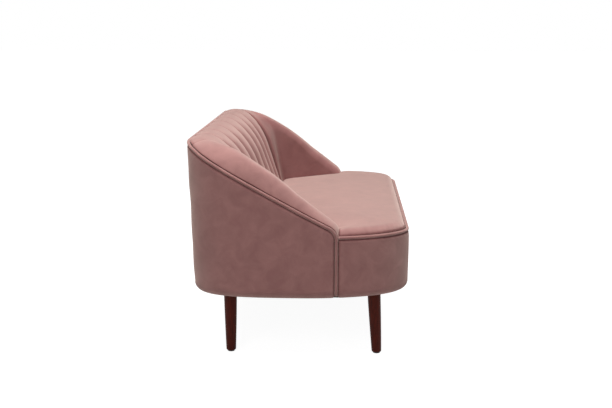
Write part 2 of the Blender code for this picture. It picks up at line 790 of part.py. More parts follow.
def make_webbing():
    last_column = STRAIGHT_HALF - SEAT_STRAP_INSET
    columns = [last_column * (2 * i / (SEAT_STRAPS - 1) - 1) for i in range(SEAT_STRAPS)]
    first_row = ARM_FRONT_Y + CROSS_STRAP_SETBACK
    rows = [first_row + i * CROSS_STRAP_PITCH for i in range(CROSS_STRAPS)]
    front = -FRONT_HALF + FRAME_OUT + FRAME_THICKNESS / 4
    back = back_half_at(RAIL_TOP) - FRAME_OUT - FRAME_THICKNESS / 4
    for i, x in enumerate(columns):
        path = woven(rows, front, back, i)
        strap(f"seat_strap_{i + 1}", [(x, y, STRAP_BOTTOM + up) for y, up in path], (1, 0), WEBBING)
    outline = body_outline(FRAME_OUT + FRAME_THICKNESS / 4, RAIL_TOP)
    for i, y in enumerate(rows):
        edges = (y - STRAP_WIDTH / 2, y + STRAP_WIDTH / 2)
        reach = min(plan_point(station_at(1, edge, outline), outline)[0] for edge in edges)
        path = woven(columns, -reach, reach, i + 1)
        strap(f"cross_strap_{i + 1}", [(x, y, STRAP_BOTTOM + up) for x, up in path], (0, 1), WEBBING)
    low = RAIL_TOP + GAP
    high = frame_top(back_station(0.0).run) - TOP_RAIL_HEIGHT
    for i in range(BACK_STRAPS):
        z = (low + high) / 2 + (i - (BACK_STRAPS - 1) / 2) * BACK_STRAP_PITCH
        inner = FRAME_IN + GAP
        end = 1 - GAP / STRAIGHT_HALF
        stations = [back_station(-end), back_station(end)]
        span = (z - STRAP_WIDTH / 2, z + STRAP_WIDTH / 2)
        rings = [frame_ring(s, *span, inner, inner + STRAP_THICKNESS) for s in stations]
        loft(f"back_strap_{i + 1}", rings, WEBBING)


# Legs with their blocks, plates, bolts and glides

LegPlace = namedtuple("LegPlace", "name station inset lean")


def leg_places():
    places = []
    for side, name in SIDES:
        front = station_at(side, FRONT_LEG_Y, body_outline(FRONT_LEG_INSET, FRAME_BOTTOM))
        back = station_at(side, BACK_LEG_Y, body_outline(BACK_LEG_INSET, FRAME_BOTTOM))
        lean = math.tan(math.radians(FRONT_LEG_LEAN_DEGREES))
        places.append(LegPlace(f"front_{name}", front, FRONT_LEG_INSET, lean))
        places.append(LegPlace(f"back_{name}", back, BACK_LEG_INSET, 0.0))
    return places


def turned(name, profile, centre, lean, collection=None, segments=20):
    """A shape turned about a vertical axis, whose sections shift forward as they go down."""
    mesh = bpy.data.meshes.new(name)
    edges = [(i, i + 1) for i in range(len(profile) - 1)]
    mesh.from_pydata([(r, 0.0, z) for r, z in profile], edges, [])
    lathe = bpy.data.objects.new(name + "_lathe", mesh)
    bpy.context.scene.collection.objects.link(lathe)
    screw = lathe.modifiers.new("turn", "SCREW")
    screw.steps = screw.render_steps = segments
    screw.use_merge_vertices = True
    screw.merge_threshold = 0.00005
    graph = bpy.context.evaluated_depsgraph_get()
    solid = bpy.data.meshes.new_from_object(lathe.evaluated_get(graph))
    bpy.data.objects.remove(lathe)
    shear = Matrix.Identity(4)
    shear[1][2] = lean
    shear[1][3] = -lean * LEG_HEIGHT
    solid.transform(shear)
    bm = bmesh.new()
    bm.from_mesh(solid)
    bmesh.ops.remove_doubles(bm, verts=bm.verts, dist=0.00002)
    bmesh.ops.recalc_face_normals(bm, faces=bm.faces)
    bm.to_mesh(solid)
    bm.free()
    obj = bpy.data.objects.new(name, solid)
    obj.location = (centre[0], centre[1], 0.0)
    if collection:
        collection.objects.link(obj)
        obj.hide_render = True
        obj.display_type = "WIRE"
    return obj


def make_leg(leg, centre):
    top = LEG_HEIGHT
    foot = GLIDE_THICKNESS + GAP
    bore = BOLT_DIAMETER / 2 + BORE_CLEARANCE
    bore_end = top - BOLT_IN_LEG - BORE_CLEARANCE
    r_top = LEG_TOP_DIAMETER / 2
    r_foot = LEG_FOOT_DIAMETER / 2
    profile = [
        (0.0, bore_end),
        (bore, bore_end),
        (bore, top),
        (r_top, top),
        (r_foot, foot + LEG_FOOT_ROUND),
        (r_foot - LEG_FOOT_ROUND, foot),
        (0.0, foot),
    ]
    place(turned(f"leg_{leg.name}", profile, centre, leg.lean), STAINED)
    r_glide = GLIDE_DIAMETER / 2
    glide = [(0.0, GLIDE_THICKNESS), (r_glide, GLIDE_THICKNESS), (r_glide, 0.0), (0.0, 0.0)]
    foot_y = centre[1] - leg.lean * LEG_HEIGHT
    place(turned(f"glide_{leg.name}", glide, (centre[0], foot_y), 0.0), NYLON)
    plate_low = top + GAP
    plate_high = plate_low + PLATE_THICKNESS
    hub_top = plate_high + HUB_LENGTH
    r_hub = HUB_DIAMETER / 2
    r_plate = PLATE_DIAMETER / 2
    plate = [
        (bore, hub_top),
        (r_hub, hub_top),
        (r_hub, plate_high),
        (r_plate, plate_high),
        (r_plate, plate_low),
        (bore, plate_low),
        (bore, hub_top),
    ]
    place(turned(f"leg_plate_{leg.name}", plate, centre, leg.lean), STEEL)
    r_bolt = BOLT_DIAMETER / 2
    bolt = [(0.0, hub_top), (r_bolt, hub_top), (r_bolt, top - BOLT_IN_LEG), (0.0, top - BOLT_IN_LEG)]
    place(turned(f"leg_bolt_{leg.name}", bolt, centre, leg.lean), STEEL)
    return hub_top


def make_leg_block(leg, centre, hub_top):
    """A block glued inside the curved seat rail over the leg, bored for the plate's hub."""
    stations = sorted(
        cap_stations(leg.station.side) + side_stations(leg.station.side, 0.0)
        + corner_stations(leg.station.side),
        key=lambda s: plan_point(s, body_outline(leg.inset, FRAME_BOTTOM))[1],
    )
    outline = body_outline(leg.inset, FRAME_BOTTOM)
    near = [s for s in stations if math.dist(plan_point(s, outline), centre) < LEG_BLOCK_HALF_SPAN]
    low = LEG_HEIGHT + GAP + PLATE_THICKNESS + GAP
    inner = FRAME_IN + GAP
    rings = [frame_ring(s, low, low + LEG_BLOCK_HEIGHT, inner, inner + LEG_BLOCK_DEPTH) for s in near]
    block = loft(f"leg_block_{leg.name}", rings, TIMBER)
    r_bore = HUB_DIAMETER / 2 + BORE_CLEARANCE
    end = hub_top + BORE_CLEARANCE
    profile = [(0.0, end), (r_bore, end), (r_bore, low - HUB_LENGTH), (0.0, low - HUB_LENGTH)]
    cutter = turned(f"bore_{leg.name}", profile, centre, leg.lean, cutters)
    cut = block.modifiers.new("hub_bore", "BOOLEAN")
    cut.operation = "DIFFERENCE"
    cut.object = cutter


def make_legs():
    centres = []
    for leg in leg_places():
        centre = plan_point(leg.station, body_outline(leg.inset, FRAME_BOTTOM))
        hub_top = make_leg(leg, centre)
        make_leg_block(leg, centre, hub_top)
        centres.append(centre)
    outline = closed_plan(body_outline(DUST_COVER_INSET, LEG_HEIGHT))
    holes = [circle(centre, DUST_HOLE_DIAMETER) for centre in centres]
    high = LEG_HEIGHT - GAP
    flat_panel("dust_cover", [outline] + holes, high - DUST_COVER, high, LINING)


make_rails()
make_uprights()
make_webbing()
make_legs()
make_seat()
make_back_pad()
for pad_side, pad_name in SIDES:
    make_arm_pads(pad_side, pad_name)
make_outside_covers()
make_piping()
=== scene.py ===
"""Looks of a two-seat retro sofa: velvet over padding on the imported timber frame, on dark turned legs.

Metres, +Z up. The front faces -Y and the floor is at Z 0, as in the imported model.
"""

import math

import bmesh
import bpy
import numpy as np
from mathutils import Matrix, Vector


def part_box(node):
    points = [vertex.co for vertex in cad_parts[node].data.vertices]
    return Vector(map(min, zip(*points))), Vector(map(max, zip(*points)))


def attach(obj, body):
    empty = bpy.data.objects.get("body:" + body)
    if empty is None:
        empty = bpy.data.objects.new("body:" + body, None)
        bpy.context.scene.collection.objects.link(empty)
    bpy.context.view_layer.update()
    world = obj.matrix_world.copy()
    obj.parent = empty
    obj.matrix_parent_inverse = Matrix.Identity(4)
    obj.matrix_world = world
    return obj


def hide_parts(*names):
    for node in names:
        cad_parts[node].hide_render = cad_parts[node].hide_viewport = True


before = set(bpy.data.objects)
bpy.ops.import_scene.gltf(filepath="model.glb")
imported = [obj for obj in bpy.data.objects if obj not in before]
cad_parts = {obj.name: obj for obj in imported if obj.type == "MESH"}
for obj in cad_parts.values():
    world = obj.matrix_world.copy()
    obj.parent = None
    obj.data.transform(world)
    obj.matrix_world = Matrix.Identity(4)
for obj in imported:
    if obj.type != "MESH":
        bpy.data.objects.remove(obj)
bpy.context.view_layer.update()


# Turned legs
# Four round tapered legs of beech, turned on a lathe, stained dark brown and lacquered to a satin.
# Each screws up against its plate with a hanger bolt, and the front pair lean forward a little.

def linear(hex_colour):
    """An sRGB hex colour as the linear colour that a shader takes, with alpha 1."""
    parts = [int(hex_colour[i:i + 2], 16) / 255 for i in (1, 3, 5)]
    return [c / 12.92 if c <= 0.04045 else ((c + 0.055) / 1.055) ** 2.4 for c in parts] + [1.0]


def add(tree, kind, inputs, **settings):
    """Adds a node, with its settings, and with a value or a link for each input that is named."""
    made = tree.nodes.new(kind)
    for name, value in settings.items():
        setattr(made, name, value)
    for name, value in inputs.items():
        if isinstance(value, bpy.types.NodeSocket):
            tree.links.new(value, made.inputs[name])
        else:
            made.inputs[name].default_value = value
    return made


def new_material(name):
    """An empty node material, its tree, its shader and the Object coordinates of the piece that wears it."""
    made = bpy.data.materials.new(name)
    made.use_nodes = True
    tree = made.node_tree
    shader = tree.nodes["Principled BSDF"]
    place = add(tree, "ShaderNodeTexCoord", {}).outputs["Object"]
    return made, tree, shader, place


def surface(name, points, material, closed=False, turned_in=False, pile_and_shade=None):
    """A mesh piece from a grid of points, rows by columns.

    A closed one joins its last column to its first and gets a flat face over its first and last rows.
    The last argument says for each point or column how far the pile there is brushed down, which the material
    shows as less sheen and a painted shade.
    """
    sharp_angle = math.radians(50)
    rows, columns = points.shape[:2]
    index = np.arange(rows * columns).reshape(rows, columns)
    if closed:
        index = np.concatenate([index, index[:, :1]], axis=1)
    quads = np.stack([index[:-1, :-1], index[:-1, 1:], index[1:, 1:], index[1:, :-1]], axis=-1)
    faces = quads.reshape(-1, 4)
    if closed:
        corner = points.reshape(-1, 3)[faces]
        across = np.cross(corner[:, 2] - corner[:, 0], corner[:, 3] - corner[:, 1])
        turned_in = (across * corner.mean(axis=1)).sum() < 0
    faces = faces.tolist()
    if closed:
        faces += [index[0, -2::-1].tolist(), index[-1, :-1].tolist()]
    if turned_in:
        faces = [face[::-1] for face in faces]
    mesh = bpy.data.meshes.new(name)
    mesh.from_pydata(points.reshape(-1, 3).tolist(), [], faces)
    mesh.shade_smooth()
    mesh.set_sharp_from_angle(angle=sharp_angle)
    mesh.materials.append(material)
    if pile_and_shade is not None:
        shaded_pile = mesh.attributes.new("pile_down_and_painted_shade", "FLOAT", "POINT")
        shaded_pile.data.foreach_set("value", np.broadcast_to(pile_and_shade, (rows, columns)).ravel())
    piece = bpy.data.objects.new(name, mesh)
    bpy.context.scene.collection.objects.link(piece)
    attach(piece, "root")
    return piece


def stained_beech():
    """Beech under a dark stain and satin lacquer: fine straight grain with short flecks, softly glossy."""
    grain_width = 0.004
    fleck_length = 0.030
    made, tree, shader, place = new_material("dark_stained_beech")
    along = add(tree, "ShaderNodeMapping", {"Vector": place, "Scale": (1, 1, grain_width / fleck_length)})
    grain = add(
        tree, "ShaderNodeTexNoise",
        {"Vector": along.outputs["Vector"], "Scale": 1 / grain_width, "Detail": 6.0, "Roughness": 0.65},
    )
    ramp = add(tree, "ShaderNodeValToRGB", {"Fac": grain.outputs["Fac"]})
    ramp.color_ramp.elements[0].position = 0.32
    ramp.color_ramp.elements[0].color = linear("#3A130C")
    ramp.color_ramp.elements[1].position = 0.72
    ramp.color_ramp.elements[1].color = linear("#642316")
    bump = add(
        tree, "ShaderNodeBump", {"Height": grain.outputs["Fac"], "Strength": 0.12, "Distance": 0.0006}
    )
    gloss = add(
        tree, "ShaderNodeMapRange",
        {"Value": grain.outputs["Fac"], "To Min": 0.46, "To Max": 0.60},
    )
    tree.links.new(ramp.outputs["Color"], shader.inputs["Base Color"])
    tree.links.new(gloss.outputs["Result"], shader.inputs["Roughness"])
    tree.links.new(bump.outputs["Normal"], shader.inputs["Normal"])
    shader.inputs["IOR"].default_value = 1.48
    shader.inputs["Specular IOR Level"].default_value = 0.12
    return made


def turned_leg(name, material):
    """A taper turned round its axis, from a rounded foot to a square-cut top, with a faint swell half-way."""
    sides = 48
    top_radius = 0.023
    foot_radius = 0.017
    foot_round = 0.003
    swell = 0.0006
    low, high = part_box(f"leg_{name}")
    glide_low, glide_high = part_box(f"glide_{name}")
    foot = np.array((glide_low + glide_high) / 2)
    top_y = high.y - top_radius
    turn = np.linspace(0, math.pi / 2, 6)
    rise = np.linspace(0, 1, 40)[1:]
    length = high.z - low.z - foot_round
    radius = np.concatenate([
        foot_radius - foot_round * (1 - np.sin(turn)),
        foot_radius + (top_radius - foot_radius) * rise + swell * np.sin(math.pi * rise),
    ])
    z = np.concatenate([
        low.z + foot_round * (1 - np.cos(turn)),
        low.z + foot_round + length * rise,
    ])
    share = (z - low.z) / (high.z - low.z)
    angle = np.linspace(0, 2 * math.pi, sides, endpoint=False)
    points = np.empty((len(z), sides, 3))
    points[..., 0] = foot[0] + radius[:, None] * np.cos(angle)
    points[..., 1] = (foot[1] + (top_y - foot[1]) * share)[:, None] + radius[:, None] * np.sin(angle)
    points[..., 2] = z[:, None]
    piece = surface(f"turned_leg_{name}", points, material, closed=True)
    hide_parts(f"leg_{name}")


LEGS = ("front_left", "front_right", "back_left", "back_right")
beech = stained_beech()
for leg in LEGS:
    turned_leg(leg, beech)


# Glides, plates and bolts of the legs
# Pressed nylon glides under the feet, and zinc-plated steel plates and hanger bolts at the top.
# They are hardware of standard kinds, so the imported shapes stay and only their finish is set.

def dress(nodes, material):
    """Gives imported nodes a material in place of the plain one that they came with."""
    for name in nodes:
        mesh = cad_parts[name].data
        mesh.materials.clear()
        mesh.materials.append(material)


def moulded_nylon():
    """Injection-moulded black nylon: a low sheen with a fine even grain."""
    grain_size = 0.0008
    made, tree, shader, place = new_material("black_moulded_nylon")
    grain = add(tree, "ShaderNodeTexNoise", {"Vector": place, "Scale": 1 / grain_size, "Detail": 2.0})
    bump = add(tree, "ShaderNodeBump", {"Height": grain.outputs["Fac"], "Strength": 0.2, "Distance": 0.0002})
    gloss = add(tree, "ShaderNodeMapRange", {"Value": grain.outputs["Fac"], "To Min": 0.45, "To Max": 0.6})
    shader.inputs["Base Color"].default_value = linear("#1B1A1A")
    shader.inputs["IOR"].default_value = 1.53
    tree.links.new(gloss.outputs["Result"], shader.inputs["Roughness"])
    tree.links.new(bump.outputs["Normal"], shader.inputs["Normal"])
    return made


def zinc_plated_steel():
    """Steel with a bright zinc plating: grey, clouded in patches a few millimetres across."""
    cloud_size = 0.006
    made, tree, shader, place = new_material("zinc_plated_steel")
    cloud = add(tree, "ShaderNodeTexNoise", {"Vector": place, "Scale": 1 / cloud_size, "Detail": 4.0})
    ramp = add(tree, "ShaderNodeValToRGB", {"Fac": cloud.outputs["Fac"]})
    ramp.color_ramp.elements[0].color = linear("#A9ABAA")
    ramp.color_ramp.elements[1].color = linear("#D2D3CF")
    gloss = add(tree, "ShaderNodeMapRange", {"Value": cloud.outputs["Fac"], "To Min": 0.25, "To Max": 0.45})
    tree.links.new(ramp.outputs["Color"], shader.inputs["Base Color"])
    tree.links.new(gloss.outputs["Result"], shader.inputs["Roughness"])
    shader.inputs["Metallic"].default_value = 1.0
    return made


dress([f"glide_{leg}" for leg in LEGS], moulded_nylon())
dress([f"leg_{part}_{leg}" for part in ("plate", "bolt") for leg in LEGS], zinc_plated_steel())


# Timber frame
# Planed pine: seat rails, posts, stiles, top rails and leg blocks, glued, dowelled and stapled.
# The covers close it in on all sides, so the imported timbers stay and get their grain.

def planed_pine():
    """Planed softwood: pale, with darker late-wood rings about 5 mm apart along the grain.

    Bands of the wave texture lie about 0.3 apart at scale 1.
    """
    ring_pitch = 0.005
    band_pitch = 0.3
    stretch = 0.08
    made, tree, shader, place = new_material("planed_pine")
    along = add(tree, "ShaderNodeMapping", {"Vector": place, "Scale": (stretch, 1, 1)})
    ring = add(
        tree, "ShaderNodeTexWave",
        {"Vector": along.outputs["Vector"], "Scale": band_pitch / ring_pitch,
         "Distortion": 6.0, "Detail": 3.0},
    )
    ramp = add(tree, "ShaderNodeValToRGB", {"Fac": ring.outputs["Fac"]})
    ramp.color_ramp.elements[0].color = linear("#D9B98A")
    ramp.color_ramp.elements[1].color = linear("#B98A56")
    bump = add(tree, "ShaderNodeBump", {"Height": ring.outputs["Fac"], "Strength": 0.1, "Distance": 0.0004})
    tree.links.new(ramp.outputs["Color"], shader.inputs["Base Color"])
    tree.links.new(bump.outputs["Normal"], shader.inputs["Normal"])
    shader.inputs["Roughness"].default_value = 0.65
    shader.inputs["IOR"].default_value = 1.45
    return made


SIDES = ((-1, "left"), (1, "right"))
END_TIMBERS = ("seat_rail", "arm_post", "arm_top_rail", "back_post", "back_stile")
timbers = ["front_seat_rail", "back_seat_rail", "centre_seat_rail", "back_top_rail"]
timbers += [f"{name}_{timber}" for side, name in SIDES for timber in END_TIMBERS]
timbers += [f"leg_block_{leg}" for leg in LEGS]
dress(timbers, planed_pine())


# Webbing
# Woven elastic straps, 50 mm wide, stretched over the seat rails and the back stiles and stapled.
# They carry the foam out of sight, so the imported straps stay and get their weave.

def woven_webbing():
    """Elastic webbing: black and tan yarns about 2.5 mm apart, in a plain weave."""
    yarn_pitch = 0.0025
    made, tree, shader, place = new_material("elastic_webbing")
    weave = add(
        tree, "ShaderNodeTexChecker",
        {"Vector": place, "Scale": 1 / yarn_pitch, "Color1": linear("#2B2622"), "Color2": linear("#5A4B3A")},
    )
    bump = add(tree, "ShaderNodeBump", {"Height": weave.outputs["Fac"], "Strength": 0.4, "Distance": 0.0004})
    tree.links.new(weave.outputs["Color"], shader.inputs["Base Color"])
    tree.links.new(bump.outputs["Normal"], shader.inputs["Normal"])
    shader.inputs["Roughness"].default_value = 0.85
    return made


straps = [f"seat_strap_{i}" for i in range(1, 6)]
straps += [f"{place}_strap_{i}" for place in ("cross", "back") for i in (1, 2)]
dress(straps, woven_webbing())


# Outside covers
# Velvet over thin wadding, cut as one panel for each end and one for the back.
# Each is sewn into the piping, pulled down over the frame, turned under the rails and stapled there.

HALF_WIDTH = 0.6590
FRONT_HALF = 0.3780
BACK_HALF = 0.3765
BACK_FLARE = 0.017
STRAIGHT_HALF = 0.476
FRONT_ROUNDNESS = 2.1
BACK_ROUNDNESS = 3.2
BODY_BOTTOM = 0.229
TOP_HEIGHT = 0.757
ARM_FRONT_Y = -0.132
BACK_PIPING_HEIGHT = 0.742
ARM_PIPING_HEIGHT = 0.4557
ARM_PIPING_SLOPE = 0.535
ARM_CORNER_RADIUS = 0.048
PIPING_SHOULDER = 0.030
PIPING_RADIUS = 0.0055
PIPING_INSET = 0.001
SEAM_ROOM = 0.0070
SEAM_ROUND = 0.0100
FRONT_SEAM_ROOM = 0.0085
HEM_RADIUS = 0.026
HEM_WIDTH = 0.036
COVER_SWELL = 0.0005
COVER_THICKNESS = 0.004
HEM_CURL_STEPS = 8
HEM_UNDER_STEPS = 4
PADDING_EASE = 0.03
# Share of painted shade and lost sheen on a cover where it only hangs.
HUNG_PILE_AND_SHADE = 0.15
PANEL_GAP = 0.0002
SEAM_STRIP = 0.020
SEAM_STRIP_STEPS = 12
STITCH_STEP = 0.0005
ARM_SLANT = math.sqrt(1 + ARM_PIPING_SLOPE ** 2)
NOSE_CENTRE = ARM_PIPING_HEIGHT + ARM_CORNER_RADIUS * (ARM_PIPING_SLOPE - ARM_SLANT)


def smooth_step(share):
    """A share from 0 to 1, eased at both ends: its square times three less twice the share."""
    return share ** 2 * (3 - 2 * share)


def length_along(x, y):
    """Length along a path of points, from the first to each of them."""
    return np.concatenate([[0], np.cumsum(np.hypot(np.diff(x), np.diff(y)))])


# Turns round the back's corner, closest together at its ends, and the length along the skin to each of them
corner_turn = math.pi / 2 * smooth_step(np.linspace(0, 1, 400))
corner_x = (HALF_WIDTH - STRAIGHT_HALF) * np.cos(corner_turn) ** (2 / BACK_ROUNDNESS)
corner_y = BACK_HALF * np.sin(corner_turn) ** (2 / BACK_ROUNDNESS)
corner_reached = length_along(corner_x, corner_y)
WIDEST_RUN = -ARM_FRONT_Y
BACK_RUN = WIDEST_RUN + corner_reached[-1]
MIDDLE_RUN = BACK_RUN + STRAIGHT_HALF


def velvet():
    """Short-pile polyester velvet: dusty rose, lighter seen along the pile, with a painted shade and less
    sheen where the pile is marked brushed down.

    The pile lies in soft patches, and its fibres are drawn 2.5 mm apart, coarser than they are, to show.
    """
    patch_size = 0.05
    fibre_size = 0.0025
    fibre_share = 0.15
    made, tree, shader, place = new_material("dusty_pink_velvet")
    patch = add(
        tree, "ShaderNodeTexNoise",
        {"Vector": place, "Scale": 1 / patch_size, "Detail": 3.0, "Roughness": 0.55, "Distortion": 0.6},
    )
    fibre = add(
        tree, "ShaderNodeTexNoise",
        {"Vector": place, "Scale": 1 / fibre_size, "Detail": 2.0, "Roughness": 0.6},
    )
    patches = add(
        tree, "ShaderNodeMath", {0: patch.outputs["Fac"], 1: 1 - fibre_share}, operation="MULTIPLY"
    )
    mottle = add(
        tree, "ShaderNodeMath",
        {0: fibre.outputs["Fac"], 1: fibre_share, 2: patches.outputs["Value"]}, operation="MULTIPLY_ADD",
    )
    ramp = add(tree, "ShaderNodeValToRGB", {"Fac": mottle.outputs["Value"]})
    ramp.color_ramp.elements[0].position = 0.34
    ramp.color_ramp.elements[0].color = linear("#925A59")
    ramp.color_ramp.elements[1].position = 0.66
    ramp.color_ramp.elements[1].color = linear("#A56D6A")
    bump = add(
        tree, "ShaderNodeBump", {"Height": fibre.outputs["Fac"], "Strength": 0.25, "Distance": 0.0006}
    )
    # Painted shade: where the pile is marked brushed down, the colour is mixed towards a dark #6C4543 for
    # shade at seams, in channel grooves and down the inner faces, and the sheen drops.
    pile_and_shade = add(tree, "ShaderNodeAttribute", {}, attribute_name="pile_down_and_painted_shade")
    shaded_pile = add(
        tree, "ShaderNodeMix",
        {"Factor": pile_and_shade.outputs["Fac"], 6: ramp.outputs["Color"], 7: linear("#6C4543")},
        data_type="RGBA",
    )
    sheen = add(
        tree, "ShaderNodeMapRange",
        {"Value": pile_and_shade.outputs["Fac"], "From Max": 0.35, "To Min": 0.98, "To Max": 0.30},
    )
    tree.links.new(shaded_pile.outputs[2], shader.inputs["Base Color"])
    tree.links.new(sheen.outputs["Result"], shader.inputs["Sheen Weight"])
    tree.links.new(bump.outputs["Normal"], shader.inputs["Normal"])
    shader.inputs["Roughness"].default_value = 0.9
    shader.inputs["Specular IOR Level"].default_value = 0.2
    shader.inputs["Sheen Roughness"].default_value = 0.7
    shader.inputs["Sheen Tint"].default_value = linear("#FFE6DA")
    return made


rose_velvet = velvet()


def smooth_min(a, b, width):
    """The smaller of two lines, rounded where they cross over a given width."""
    near = np.maximum(width - np.abs(a - b), 0) / width
    return np.minimum(a, b) - near ** 2 * width / 4


def piping_height(run, below=0.0):
    """Height of the piping at a run along the wall from the arm's front, or of a line that far below it.

    It rises round an arc at the arm's nose, slopes up the arm and levels off on the back.
    """
    sloped = ARM_PIPING_HEIGHT + ARM_PIPING_SLOPE * run - below * ARM_SLANT
    radius = ARM_CORNER_RADIUS - below
    ahead = np.maximum(ARM_CORNER_RADIUS - run, 0)
    arc = NOSE_CENTRE + np.sqrt(np.maximum(radius ** 2 - ahead ** 2, 0))
    arm = np.where(ahead > radius * ARM_PIPING_SLOPE / ARM_SLANT, arc, sloped)
    return smooth_min(BACK_PIPING_HEIGHT - below, arm, PIPING_SHOULDER)


def back_line(z):
    """Y of the outside back at a height: it leans out evenly from its foot to its piping."""
    return BACK_HALF - BACK_FLARE * (BACK_PIPING_HEIGHT - z) / (BACK_PIPING_HEIGHT - BODY_BOTTOM)


def plan(run, inset, z):
    """X and Y of the body's outline at a run along its right half, taken in by an inset at a height.

    The side is a superellipse before its widest point and a squarer one behind it, and the back is straight.
    """
    run, inset, z = np.broadcast_arrays(run, inset, z)
    front = FRONT_HALF - inset
    back = back_line(z) - inset
    reach = HALF_WIDTH - inset - STRAIGHT_HALF
    y = ARM_FRONT_Y + run
    ratio = np.clip(np.abs(y) / front, 0, 1)
    side_x = STRAIGHT_HALF + reach * (1 - ratio ** FRONT_ROUNDNESS) ** (1 / FRONT_ROUNDNESS)
    turn = np.interp(run - WIDEST_RUN, corner_reached, corner_turn)
    round_x = STRAIGHT_HALF + reach * np.cos(turn) ** (2 / BACK_ROUNDNESS)
    round_y = back * np.sin(turn) ** (2 / BACK_ROUNDNESS)
    x = np.where(run <= WIDEST_RUN, side_x, np.where(run < BACK_RUN, round_x, MIDDLE_RUN - run))
    y = np.where(run <= WIDEST_RUN, y, np.where(run < BACK_RUN, round_y, back))
    return x, y


def seam_turn(distance, radius=SEAM_ROUND):
    """How far cloth turns in beside a seam: a quarter circle that ends at the given radius."""
    left = np.clip(1 - distance / radius, 0, 1)
    return radius * (1 - np.sqrt(1 - left ** 2))


def pucker(along, distance, pitch=0.021, height=0.0004, fade=0.016):
    """Small ripples that the stitches draw across a seam, fading away from it."""
    wave = np.sin(2 * math.pi * along / pitch) + 0.6 * np.sin(2 * math.pi * along / (1.7 * pitch) + 1.3)
    return height * wave * np.exp(-distance / fade)


def parted_pile_and_seam_shade(distance, reach=0.0045):
    """How far the pile is brushed down beside a seam, drawn as painted shade in the seam: wholly at the
    stitches, fading away from them.
    """
    return np.exp(-(distance / reach) ** 2)


def unevenness(a, b, size=0.11, height=0.0006):
    """The slight unevenness of padding by hand: a few long waves, the same in every run."""
    first = np.sin(2 * math.pi * a / size + 1.1) * np.sin(2 * math.pi * b / (1.3 * size) + 0.4)
    second = np.sin(2 * math.pi * (a + 0.7 * b) / (1.9 * size) + 2.3)
    return height * (first + second)


def fine_from(start, end, count, first_step):
    """Values from start to end whose steps begin small and grow evenly."""
    share = np.linspace(0, 1, count)
    total = abs(end - start)
    bend = np.clip(1 - first_step * (count - 1) / total, 0, 1)
    return start + (end - start) * ((1 - bend) * share + bend * share ** 2)


def steps_through(start, *stretches):
    """Values from a start through the stretches in turn: each has an end and a count of even values."""
    values = [np.array([start])]
    for end, count in stretches:
        values.append(np.linspace(values[-1][-1], end, count)[1:])
    return np.concatenate(values)


def both_halves(half, flip=(-1, 1, 1)):
    """The rows of a right half, then those of its mirror image on the left, with the middle row once.

    Flip is what a row on the right is multiplied by to give the one on the left.
    """
    return np.concatenate([half, half[-2::-1] * flip])


def shell(piece, thickness=COVER_THICKNESS):
    """Gives an open sheet of cloth its thickness, on its inner side."""
    wall = piece.modifiers.new("thickness", "SOLIDIFY")
    wall.thickness = thickness
    wall.offset = -1
    wall.use_rim = True


def hung_cloth(along, z, distance, swell):
    """Insets and heights of a cover: down from its seam over its padding, round the hem and under the rail.

    Rows run along the cover and columns down it, and distance is that from the nearest sewn edge.
    The third result is how far the pile is brushed down at each point, drawn as painted shade and less sheen:
    most at the seams and a little where it only hangs.
    """
    low = BODY_BOTTOM + HEM_RADIUS
    height_share = np.clip((z - low) / (z[:, :1] - low), 0, 1)
    inset = seam_turn(distance) - swell * np.sin(math.pi * height_share)
    inset -= unevenness(along, z) * np.clip(distance / PADDING_EASE, 0, 1)
    inset -= pucker(along + z, distance)
    turn = np.linspace(0, math.pi / 2, HEM_CURL_STEPS + 1)[1:]
    under = np.linspace(HEM_RADIUS, HEM_WIDTH, HEM_UNDER_STEPS + 1)[1:]
    hem_inset = np.concatenate([HEM_RADIUS * (1 - np.cos(turn)), under])
    hem_z = BODY_BOTTOM + np.concatenate([HEM_RADIUS * (1 - np.sin(turn)), np.zeros_like(under)])
    hem_distance = np.repeat(distance[:, -1:], len(hem_z), axis=1)
    inset = np.concatenate([inset, seam_turn(hem_distance) + hem_inset], axis=1)
    z = np.concatenate([z, np.broadcast_to(hem_z, hem_distance.shape)], axis=1)
    # Painted shade along the seams, and a little over the whole hung cloth.
    pile_and_shade = parted_pile_and_seam_shade(np.concatenate([distance, hem_distance], axis=1))
    return inset, z, np.maximum(pile_and_shade, HUNG_PILE_AND_SHADE)


def outside_cover(run, seam):
    """Points of an outside cover and how far the pile is brushed down at each of them, drawn as painted
    shade.

    Seam is the distance from the nearest sewn edge, as a function of run and height.
    """
    down = fine_from(0.0, 1.0, count=90, first_step=0.004)
    top = piping_height(run, SEAM_ROOM)[:, None]
    z = top + (BODY_BOTTOM + HEM_RADIUS - top) * down
    runs = np.broadcast_to(run[:, None], z.shape)
    inset, z, pile_and_shade = hung_cloth(runs, z, seam(runs, z), COVER_SWELL)
    x, y = plan(run[:, None], inset, z)
    return np.stack([x, y, z], axis=-1), pile_and_shade


def arm_seam(run, z):
    """Distance of a place on an outside end from the piping along its top and down its front."""
    ahead = run - ARM_CORNER_RADIUS
    above = z - NOSE_CENTRE
    round_nose = ARM_CORNER_RADIUS - SEAM_ROOM - np.hypot(ahead, above)
    sloped = (ARM_PIPING_HEIGHT + ARM_PIPING_SLOPE * run - z) / ARM_SLANT - SEAM_ROOM
    level = piping_height(run, SEAM_ROOM) - z
    at_nose = (above > 0) & (ahead + ARM_PIPING_SLOPE * above < 0)
    straight = np.minimum(np.minimum(sloped, level), run - FRONT_SEAM_ROOM)
    return np.maximum(np.where(at_nose, round_nose, straight), 0)


def nose_runs(first, steps=26):
    """Runs at even turns round the arm's nose, from the upright of its front to its slope."""
    turn = np.linspace(0, math.pi / 2 - math.atan(ARM_PIPING_SLOPE), steps)
    return first + (ARM_CORNER_RADIUS - first) * (1 - np.cos(turn))


